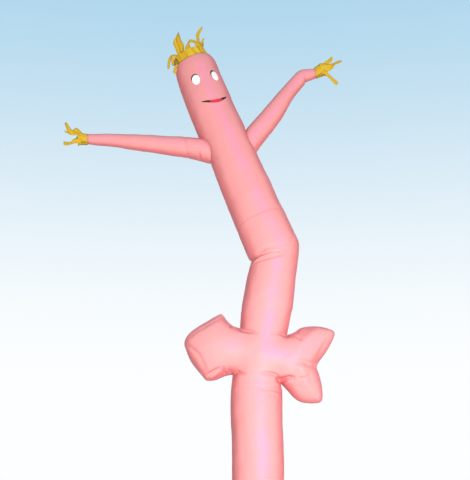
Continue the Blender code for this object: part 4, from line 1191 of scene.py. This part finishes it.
def standing_sheet(frame, base, piece, seed):
    """A strip that stands on a ring's edge and leans a little."""
    share = np.linspace(0, 1, STRIP_COLUMNS + 1)[None] - 0.5
    rise = np.linspace(0, 1, 3 * STRIP_ROWS + 1)[:, None]
    turn = math.radians(piece.turn)
    narrow = piece.width * (1 - STANDING_TAPER * rise ** 2)
    width, depth = frame.half_width[0] - STANDING_CLEAR, frame.depth[0] - STANDING_CLEAR
    spread = turn + share * narrow / (width + depth) * 2
    lean = piece.out * rise ** 1.6 + STANDING_CURL * np.sin(9 * share + seed) * rise
    across = np.sin(spread) * (width + lean) + piece.sideways * rise * math.cos(turn)
    front = np.cos(spread) * (depth + lean) - piece.sideways * rise * math.sin(turn)
    along = (base - STANDING_ROOT + piece.height * rise
             - STANDING_POINT * rise * np.abs(share) * 2)
    along = np.broadcast_to(along, across.shape)
    points = placed(frame, across, along, front)
    cloth = np.stack([share * narrow, np.broadcast_to(rise * piece.height, front.shape)], axis=-1)
    edge = (0.5 - np.abs(share)) * narrow
    return Sheet(points.reshape(-1, 3), grid_faces(*front.shape), cloth.reshape(-1, 2), edge.ravel())


def wall_sheet(rings, middles, sides, wrinkle, seed):
    """A wrinkled ring of cloth through given sections of one frame."""
    turns = even_turns(sides)[None]
    points = []
    for frame, (along, across, width, depth, crumple) in zip(rings, middles):
        fold = wrinkle * crumple * (np.sin(9 * turns + seed + 14 * along)
                                    + 0.6 * np.sin(17 * turns - 2 * seed + 22 * along))
        points.append(placed(frame, across + np.sin(turns) * (width + fold),
                             along + np.zeros_like(turns), np.cos(turns) * (depth + fold))[0])
    points = np.array(points)
    metres = np.array([m[0] for m in middles])[:, None]
    cloth = np.stack(np.broadcast_arrays((turns + math.pi) * middles[0][2], metres), axis=-1)
    seam = np.broadcast_to(metres - metres[0], points.shape[:2])
    return Sheet(points.reshape(-1, 3), tube_faces(len(middles), sides), cloth.reshape(-1, 2),
                 seam.ravel(), 2 * math.pi * middles[0][2])


def add_node(tree, kind, inputs, **settings):
    """A node with its settings; an input is a value, or the node or socket that feeds it."""
    node = tree.nodes.new(kind)
    for key, value in settings.items():
        setattr(node, key, value)
    for socket, value in inputs.items():
        if isinstance(value, bpy.types.Node):
            value = next(out for out in value.outputs if out.enabled)
        if isinstance(value, bpy.types.NodeSocket):
            tree.links.new(value, node.inputs[socket])
        else:
            node.inputs[socket].default_value = value
    return node


def threads(tree, cloth, spacing):
    """The weave's raised threads as thin lines both ways, from 0 to 1."""
    lines = []
    for direction in ("X", "Y"):
        wave = add_node(tree, "ShaderNodeTexWave",
                        {"Vector": cloth, "Scale": WAVE_PERIOD / spacing, "Distortion": 0.0},
                        wave_type="BANDS", bands_direction=direction)
        lines.append(add_node(tree, "ShaderNodeMath", {0: wave, 1: THREAD_SHARPNESS},
                              operation="POWER"))
    return add_node(tree, "ShaderNodeMath", {0: lines[0], 1: lines[1]}, operation="MAXIMUM")


def stitches(tree, cloth, seam):
    """Two rows of stitches along a seam: short threads with gaps between."""
    split = add_node(tree, "ShaderNodeSeparateXYZ", {0: cloth})
    run = add_node(tree, "ShaderNodeMath", {0: split.outputs[0], 1: split.outputs[1]},
                   operation="ADD")
    swing = add_node(tree, "ShaderNodeMath", {0: run, 1: STITCH_LENGTH}, operation="PINGPONG")
    thread = add_node(tree, "ShaderNodeMath", {0: swing, 1: STITCH_PART * STITCH_LENGTH},
                      operation="LESS_THAN")
    rows = [add_node(tree, "ShaderNodeMath", {0: seam, 1: at, 2: STITCH_WIDTH},
                     operation="COMPARE") for at in STITCH_ROWS]
    both = add_node(tree, "ShaderNodeMath", {0: rows[0], 1: rows[1]}, operation="MAXIMUM")
    return add_node(tree, "ShaderNodeMath", {0: both, 1: thread}, operation="MULTIPLY")


def cloth_material(name, roughness, specular):
    """A new material, its tree and shader, and the places and directions that patterns follow."""
    material = bpy.data.materials.new(name)
    material.use_nodes = True
    tree = material.node_tree
    shader = tree.nodes["Principled BSDF"]
    shader.inputs["Roughness"].default_value = roughness
    shader.inputs["Specular IOR Level"].default_value = specular
    place = add_node(tree, "ShaderNodeTexCoord", {}).outputs["Object"]
    cloth = add_node(tree, "ShaderNodeUVMap", {}, uv_map="cloth")
    seam = add_node(tree, "ShaderNodeAttribute", {}, attribute_name="seam").outputs["Fac"]
    outward = add_node(tree, "ShaderNodeAttribute", {}, attribute_name="outward").outputs["Vector"]
    return material, tree, shader, place, cloth, seam, outward


def nylon(name, plain, band, side, thread):
    """Coated ripstop nylon, cut and sewn: satin, with a fine raised grid and soft crumples.

    Its colour is painted for the bright sky and for light that comes through the thin cloth:
    a cooler painted sky sheen in a band where it faces the front, and painted shade, deeper and
    warmer, where it turns aside. It is deeper too along the seams, over the seam allowance.
    """
    material, tree, shader, place, cloth, seam, outward = cloth_material(
        name, NYLON_ROUGHNESS, NYLON_SPECULAR)
    # patches in which the painted sky sheen comes and goes
    patches = add_node(tree, "ShaderNodeTexNoise",
                       {"Vector": place, "Scale": 1 / PAINTED_SHEEN_PATCH, "Detail": 3.0, "Distortion": 0.4})
    # painted sky sheen: strongest where the cloth's way out, seen from the front, is near its middle
    across = add_node(tree, "ShaderNodeVectorMath", {0: outward, 1: (1.0, 0.0, 1.0)},
                      operation="MULTIPLY")
    from_painted_sheen = add_node(tree, "ShaderNodeVectorMath", {0: across, 1: PAINTED_SHEEN_FACING},
                         operation="DISTANCE")
    turned = add_node(tree, "ShaderNodeVectorMath", {0: across}, operation="LENGTH")
    near_painted_sheen = add_node(tree, "ShaderNodeMapRange",
                         {"Value": from_painted_sheen, "From Min": PAINTED_SHEEN_REACH, "From Max": 0.04},
                         interpolation_type="SMOOTHSTEP")
    patchy = add_node(tree, "ShaderNodeMapRange",
                      {"Value": patches, "From Min": 0.36, "From Max": 0.60, "To Min": 0.32,
                       "To Max": 0.85},
                      interpolation_type="SMOOTHSTEP")
    painted_sheen_share = add_node(tree, "ShaderNodeMath", {0: near_painted_sheen, 1: patchy}, operation="MULTIPLY")
    # painted shade: the deeper colour where the cloth turns aside
    painted_shade_share = add_node(tree, "ShaderNodeMapRange",
                          {"Value": turned, "From Min": 0.60, "From Max": 1.0, "To Max": PAINTED_SHADE_SHARE},
                          interpolation_type="SMOOTHSTEP")
    # deeper along the seams, over the width of the seam allowance
    seam_deepening = add_node(tree, "ShaderNodeMapRange",
                      {"Value": seam, "From Min": SEAM_ALLOWANCE * 1.15,
                       "From Max": SEAM_ALLOWANCE * 0.85, "To Max": SEAM_DEEPENING_SHARE},
                      interpolation_type="SMOOTHSTEP")
    grid = threads(tree, cloth, RIPSTOP)
    grid_share = add_node(tree, "ShaderNodeMath", {0: grid, 1: GRID_SHARE}, operation="MULTIPLY")
    sewing = stitches(tree, cloth, seam)
    sewing_share = add_node(tree, "ShaderNodeMath", {0: sewing, 1: STITCH_SHARE},
                            operation="MULTIPLY")
    # over the plain colour: painted sky sheen, painted shade at the sides, deeper seams, grid
    # threads, stitches
    colour = linear(plain)
    for share, over in ((painted_sheen_share, band), (painted_shade_share, side), (seam_deepening, side),
                        (grid_share, side), (sewing_share, thread)):
        colour = add_node(tree, "ShaderNodeMix", {0: share, 6: colour, 7: linear(over)},
                          data_type="RGBA")
    tree.links.new(colour.outputs[2], shader.inputs["Base Color"])
    crumple = add_node(tree, "ShaderNodeTexNoise",
                       {"Vector": place, "Scale": 1 / CRUMPLE, "Detail": 3.0, "Distortion": 0.5})
    fine = add_node(tree, "ShaderNodeTexNoise",
                    {"Vector": cloth, "Scale": 1 / FINE_CRUMPLE, "Detail": 3.0, "Distortion": 0.8})
    height = add_node(tree, "ShaderNodeMath", {0: fine, 1: 0.12, 2: crumple},
                      operation="MULTIPLY_ADD")
    low = add_node(tree, "ShaderNodeBump", {"Strength": 0.35, "Distance": 0.005, "Height": height})
    raised = add_node(tree, "ShaderNodeMath", {0: grid, 1: 0.6, 2: sewing},
                      operation="MULTIPLY_ADD")
    high = add_node(tree, "ShaderNodeBump",
                    {"Strength": 0.5, "Distance": 0.0008, "Height": raised, "Normal": low})
    tree.links.new(high.outputs[0], shader.inputs["Normal"])
    return material


def patch_cloth(name, plain, worn):
    """Woven polyester, cut to shape: matt, with a plain weave and a band of the worn colour along
    its edge.
    """
    material, tree, shader, place, cloth, seam, _ = cloth_material(
        name, WOVEN_ROUGHNESS, WOVEN_SPECULAR)
    patches = add_node(tree, "ShaderNodeTexNoise",
                       {"Vector": place, "Scale": 1 / PATCH_MOTTLE, "Detail": 3.0})
    mottled = add_node(tree, "ShaderNodeMapRange",
                       {"Value": patches, "From Min": 0.35, "From Max": 0.70, "To Max": 0.5})
    edge = add_node(tree, "ShaderNodeMapRange",
                    {"Value": seam, "From Min": 0.5, "From Max": 0.2, "To Max": 0.35})
    share = add_node(tree, "ShaderNodeMath", {0: mottled, 1: edge}, operation="MAXIMUM")
    colour = add_node(tree, "ShaderNodeMix", {0: share, 6: linear(plain), 7: linear(worn)},
                      data_type="RGBA")
    tree.links.new(colour.outputs[2], shader.inputs["Base Color"])
    weave = threads(tree, cloth, PATCH_WEAVE)
    height = add_node(tree, "ShaderNodeMath", {0: weave, 1: 0.5, 2: patches},
                      operation="MULTIPLY_ADD")
    bump = add_node(tree, "ShaderNodeBump", {"Strength": 0.4, "Distance": 0.0012, "Height": height})
    tree.links.new(bump.outputs[0], shader.inputs["Normal"])
    return material


def soft_light(lamp):
    """A lamp, aimed at its target."""
    panel = bpy.data.lights.new(lamp.name, "AREA")
    panel.shape = "DISK"
    panel.size = lamp.size
    panel.energy = lamp.watts
    panel.color = lamp.colour
    panel.spread = math.radians(lamp.spread)
    item = bpy.data.objects.new(lamp.name, panel)
    item.location = lamp.place
    way = Vector(lamp.target) - Vector(lamp.place)
    item.rotation_euler = way.to_track_quat("-Z", "Y").to_euler()
    bpy.context.scene.collection.objects.link(item)


def studio():
    """A pale floor, soft light from the front and all round, and the camera."""
    world = bpy.data.worlds.new("studio")
    world.use_nodes = True
    tree = world.node_tree
    back = tree.nodes["Background"]
    direction = add_node(tree, "ShaderNodeTexCoord", {}).outputs["Generated"]
    split = add_node(tree, "ShaderNodeSeparateXYZ", {0: direction})
    height = add_node(tree, "ShaderNodeMapRange",
                      {"Value": split.outputs[2], "From Min": WORLD_LEVELS[0],
                       "From Max": WORLD_LEVELS[1]},
                      interpolation_type="SMOOTHSTEP")
    ahead = add_node(tree, "ShaderNodeMix",
                     {0: height, 6: linear(WORLD_LOW), 7: linear(WORLD_HIGH)}, data_type="RGBA")
    sideways = add_node(tree, "ShaderNodeMath", {0: split.outputs[0]}, operation="ABSOLUTE")
    aside = add_node(tree, "ShaderNodeMapRange",
                     {"Value": sideways, "From Min": WORLD_ASIDE[0],
                      "From Max": WORLD_ASIDE[1]},
                     interpolation_type="SMOOTHSTEP")
    room = add_node(tree, "ShaderNodeMix", {0: aside, 6: ahead, 7: linear(WORLD_SIDE)},
                    data_type="RGBA")
    tree.links.new(room.outputs[2], back.inputs["Color"])
    back.inputs["Strength"].default_value = WORLD_STRENGTH
    bpy.context.scene.world = world
    bpy.context.scene.view_settings.view_transform = "Standard"
    bpy.ops.mesh.primitive_plane_add(size=FLOOR_SIZE, location=(0, 0, 0))
    floor = bpy.context.active_object
    floor.name = "studio_floor"
    paint = bpy.data.materials.new("studio floor")
    paint.use_nodes = True
    shader = paint.node_tree.nodes["Principled BSDF"]
    shader.inputs["Base Color"].default_value = linear(FLOOR_COLOUR)
    shader.inputs["Roughness"].default_value = FLOOR_ROUGHNESS
    floor.data.materials.append(paint)
    for lamp in LAMPS:
        soft_light(lamp)
    lens = bpy.data.cameras.new("camera")
    lens.sensor_fit = "HORIZONTAL"
    lens.sensor_width = CAMERA_SENSOR
    lens.lens = CAMERA_LENS
    lens.dof.use_dof = False
    camera = bpy.data.objects.new("camera", lens)
    camera.location = CAMERA_PLACE
    camera.rotation_euler = (math.radians(90 + CAMERA_RISE), 0, 0)
    bpy.context.scene.collection.objects.link(camera)
    bpy.context.scene.camera = camera


def worn_by(item, node):
    """A piece of cloth that stands for its CAD node."""
    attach(item, "root")
    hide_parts(node)


def build_tubes(pink):
    """The plain tube panels, the arms, and the holes that the arms open into."""
    plain = (
        ("base_cloth", "base_sleeve", LEG, 0, BASE_ROWS, (None, LEG_LOW), BASE_FLAT, True),
        ("leg_cloth", "leg_tube", LEG, BASE_ROWS, len(LEG) - 1,
         (LEG_LOW, LEG_TOP), LEG_FLAT, False),
        ("waist_cloth", "waist_tube", BODY, 0, WAIST_ROWS,
         (WAIST_LOW, WAIST_TOP), WAIST_FLAT, False),
    )
    for name, node, rows, start, end, seams, flat, hem in plain:
        sheet = tube_sheet(rows, start, end, TUBE_SIDES, seams, hem=hem)
        worn_by(cloth_object(name, sheet, pink), node)

    body_end = len(BODY) - 1
    body = tube_sheet(BODY, WAIST_ROWS, body_end, TUBE_SIDES, (WAIST_TOP, RIM),
                      ((LEFT_ARM, ROOT_PLACES, LEFT_ROOT), (RIGHT_ARM, ROOT_PLACES, RIGHT_ROOT)))
    body_item = cloth_object("body_cloth", body, pink)
    arms = (
        ("shoulder_cloth", "left_shoulder", LEFT_ARM, 0, SHOULDER_ROWS,
         (None, ELBOW), LEFT_ROOT, SHOULDER_FLAT),
        ("left_sleeve_cloth", "left_sleeve", LEFT_ARM, SHOULDER_ROWS, len(LEFT_ARM) - 1,
         (ELBOW, LEFT_WRIST), None, LEFT_SLEEVE_FLAT),
        ("right_sleeve_cloth", "right_sleeve", RIGHT_ARM, 0, len(RIGHT_ARM) - 1,
         (None, RIGHT_WRIST), RIGHT_ROOT, RIGHT_SLEEVE_FLAT),
    )
    solid, rings = grown(BODY, WAIST_ROWS, body_end, TUBE_SIDES, body, TRIM_GAP)
    body_solid = plug("body_solid", solid, TUBE_SIDES, rings)
    for name, node, rows, start, end, seams, root, flat in arms:
        pulls = ((BODY, SHOULDER_PLACES, root),) if root else ()
        sheet = tube_sheet(rows, start, end, ARM_SIDES, seams, pulls)
        item = cloth_object(name, sheet, pink)
        if root:
            cut_by(item, body_solid)
            inner, rings = grown(rows, start, end, ARM_SIDES, sheet, -CLOTH)
            hole = plug(name + "_hole", inner[:HOLE_RINGS * ARM_SIDES], ARM_SIDES, HOLE_RINGS)
            cut_by(body_item, hole)
            bpy.data.objects.remove(hole)
        worn_by(item, node)
    bpy.data.objects.remove(body_solid)
    worn_by(body_item, "body_tube")


def build_arrow(pink):
    plan = arrow_plan()
    for name, node, side in (("arrow_front_cloth", "arrow_front", -1),
                             ("arrow_back_cloth", "arrow_back", 1)):
        worn_by(arrow_panel(name, side, plan, pink), node)


def build_face():
    white = patch_cloth("white woven polyester", WHITE, WHITE_WORN)
    # brown patches: painted shade at the eyes' edges and at the smile's ends
    brown = patch_cloth("brown woven polyester", PAINTED_SHADE_BROWN, PAINTED_SHADE_BROWN_WORN)
    red = patch_cloth("red woven polyester", RED, RED_WORN)
    over = PATCH_GAP + PATCH_CLOTH + PATCH_GAP
    pieces = []
    for side, eye in EYES.items():
        # painted shade: the brown patch shows as a dark crescent at the white oval's upper left
        eye_shade_patch = patch(f"{side}_eye_painted_shade_cloth", eye_columns(eye, EYE_SHADE_SHIFT),
                        PATCH_GAP, brown)
        pieces.append((eye_shade_patch, f"{side}_eye_backing", "brown_cloth", EYE_FLAT))
        white_oval = patch(f"{side}_eye_cloth", eye_columns(eye), over, white)
        pieces.append((white_oval, f"{side}_eye", "white_cloth", EYE_FLAT))
    # painted shade: the brown line shows at both ends of the smile, beyond the red part
    line = patch("mouth_painted_shade_cloth", mouth_columns(0.0, 1.0, 1.0, MOUTH_COLUMNS),
                 PATCH_GAP, brown)
    pieces.append((line, "mouth_line", "brown_cloth", MOUTH_FLAT))
    lips = patch("mouth_lips_cloth", mouth_columns(*LIPS, LIPS_GROW, MOUTH_COLUMNS // 2),
                 over, red)
    pieces.append((lips, "mouth_lips", "red_cloth", LIPS_FLAT))
    for item, node, slot, (flat, area) in pieces:
        worn_by(item, node)


def build_hair(yellow):
    rim = tube_frames(BODY, [len(BODY) - 1])
    width, depth = rim.half_width[0], rim.depth[0]
    inset = CLOTH + CROWN_CLEAR
    crown = []
    for share in np.linspace(0, 1, CROWN_RINGS):
        along = -CROWN_SINK + share * (CROWN_HEIGHT + CROWN_SINK)
        narrow = inset + (CROWN_TAPER - inset) * share
        crown.append((along, 0.0, width - narrow, depth - narrow,
                      smooth_step(along / CROWN_SMOOTH)))
    wall = wall_sheet([rim] * len(crown), crown, TUBE_SIDES, CROWN_WRINKLE, CROWN_SEED)
    worn_by(cloth_object("crown_cloth", wall, yellow), "hair_crown")
    edge = narrowed(rim, CROWN_TAPER + BAND_CLEAR)
    top = [(CROWN_HEIGHT + step, 0.0, edge.half_width[0], edge.depth[0], 1.0)
           for step in HAIR_BAND]
    sheets = [wall_sheet([rim] * 3, top, TUBE_SIDES, CROWN_WRINKLE, CROWN_SEED)]
    sheets += [standing_sheet(edge, CROWN_HEIGHT, piece, i) for i, piece in enumerate(HAIR_BEHIND)]
    sheets += [strip_sheet(upright(rim), strip, i) for i, strip in enumerate(HAIR)]
    worn_by(cloth_object("hair_cloth", joined(sheets), yellow, rounding=1), "hair_strips")


def build_hands(yellow):
    hands = (
        ("left", LEFT_ARM, LEFT_CUFF, LEFT_FINGERS, LEFT_BEHIND, LEFT_FINGER_FLAT),
        ("right", RIGHT_ARM, RIGHT_CUFF, RIGHT_FINGERS, RIGHT_BEHIND, RIGHT_FINGER_FLAT),
    )
    for side, rows, cuff, fingers, behind, (finger_flat, finger_area) in hands:
        wrist = tube_frames(rows, [len(rows) - 1])
        smooth = spline(cuff, np.linspace(0, len(cuff) - 1, 6 * len(cuff)))
        middles = [(*row, smooth_step(row[0] / CUFF_SMOOTH)) for row in smooth]
        wall = wall_sheet([wrist] * len(middles), middles, CUFF_SIDES, CUFF_WRINKLE, CUFF_SEED)
        worn_by(cloth_object(f"{side}_cuff_cloth", wall, yellow), f"{side}_cuff")
        end = cuff[-1]
        band = [(end.along + step, end.across, end.half_width - BAND_CLEAR,
                 end.depth - BAND_CLEAR, 1.0) for step in FINGER_BAND]
        mouth = wrist._replace(middle=wrist.middle + wrist.across * end.across,
                               half_width=np.array([end.half_width]),
                               depth=np.array([end.depth]))
        sheets = [wall_sheet([wrist] * 3, band, CUFF_SIDES, CUFF_WRINKLE, CUFF_SEED)]
        sheets += [standing_sheet(mouth, end.along, piece, i) for i, piece in enumerate(behind)]
        sheets += [strip_sheet(upright(wrist), strip, i) for i, strip in enumerate(fingers)]
        worn_by(cloth_object(f"{side}_finger_cloth", joined(sheets), yellow, rounding=1),
                f"{side}_fingers")


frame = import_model()
# both nylons carry a painted sky sheen and painted shade where they turn aside
pink_nylon = nylon("pink coated ripstop nylon", PINK, PINK_PAINTED_SHEEN, PINK_DEEP_AND_PAINTED_SHADE, PINK_THREAD)
yellow_nylon = nylon("yellow coated ripstop nylon", YELLOW, YELLOW_PAINTED_SHEEN, YELLOW_DEEP_AND_PAINTED_SHADE,
                     YELLOW_THREAD)
build_tubes(pink_nylon)
build_arrow(pink_nylon)
build_face()
build_hair(yellow_nylon)
build_hands(yellow_nylon)
studio()
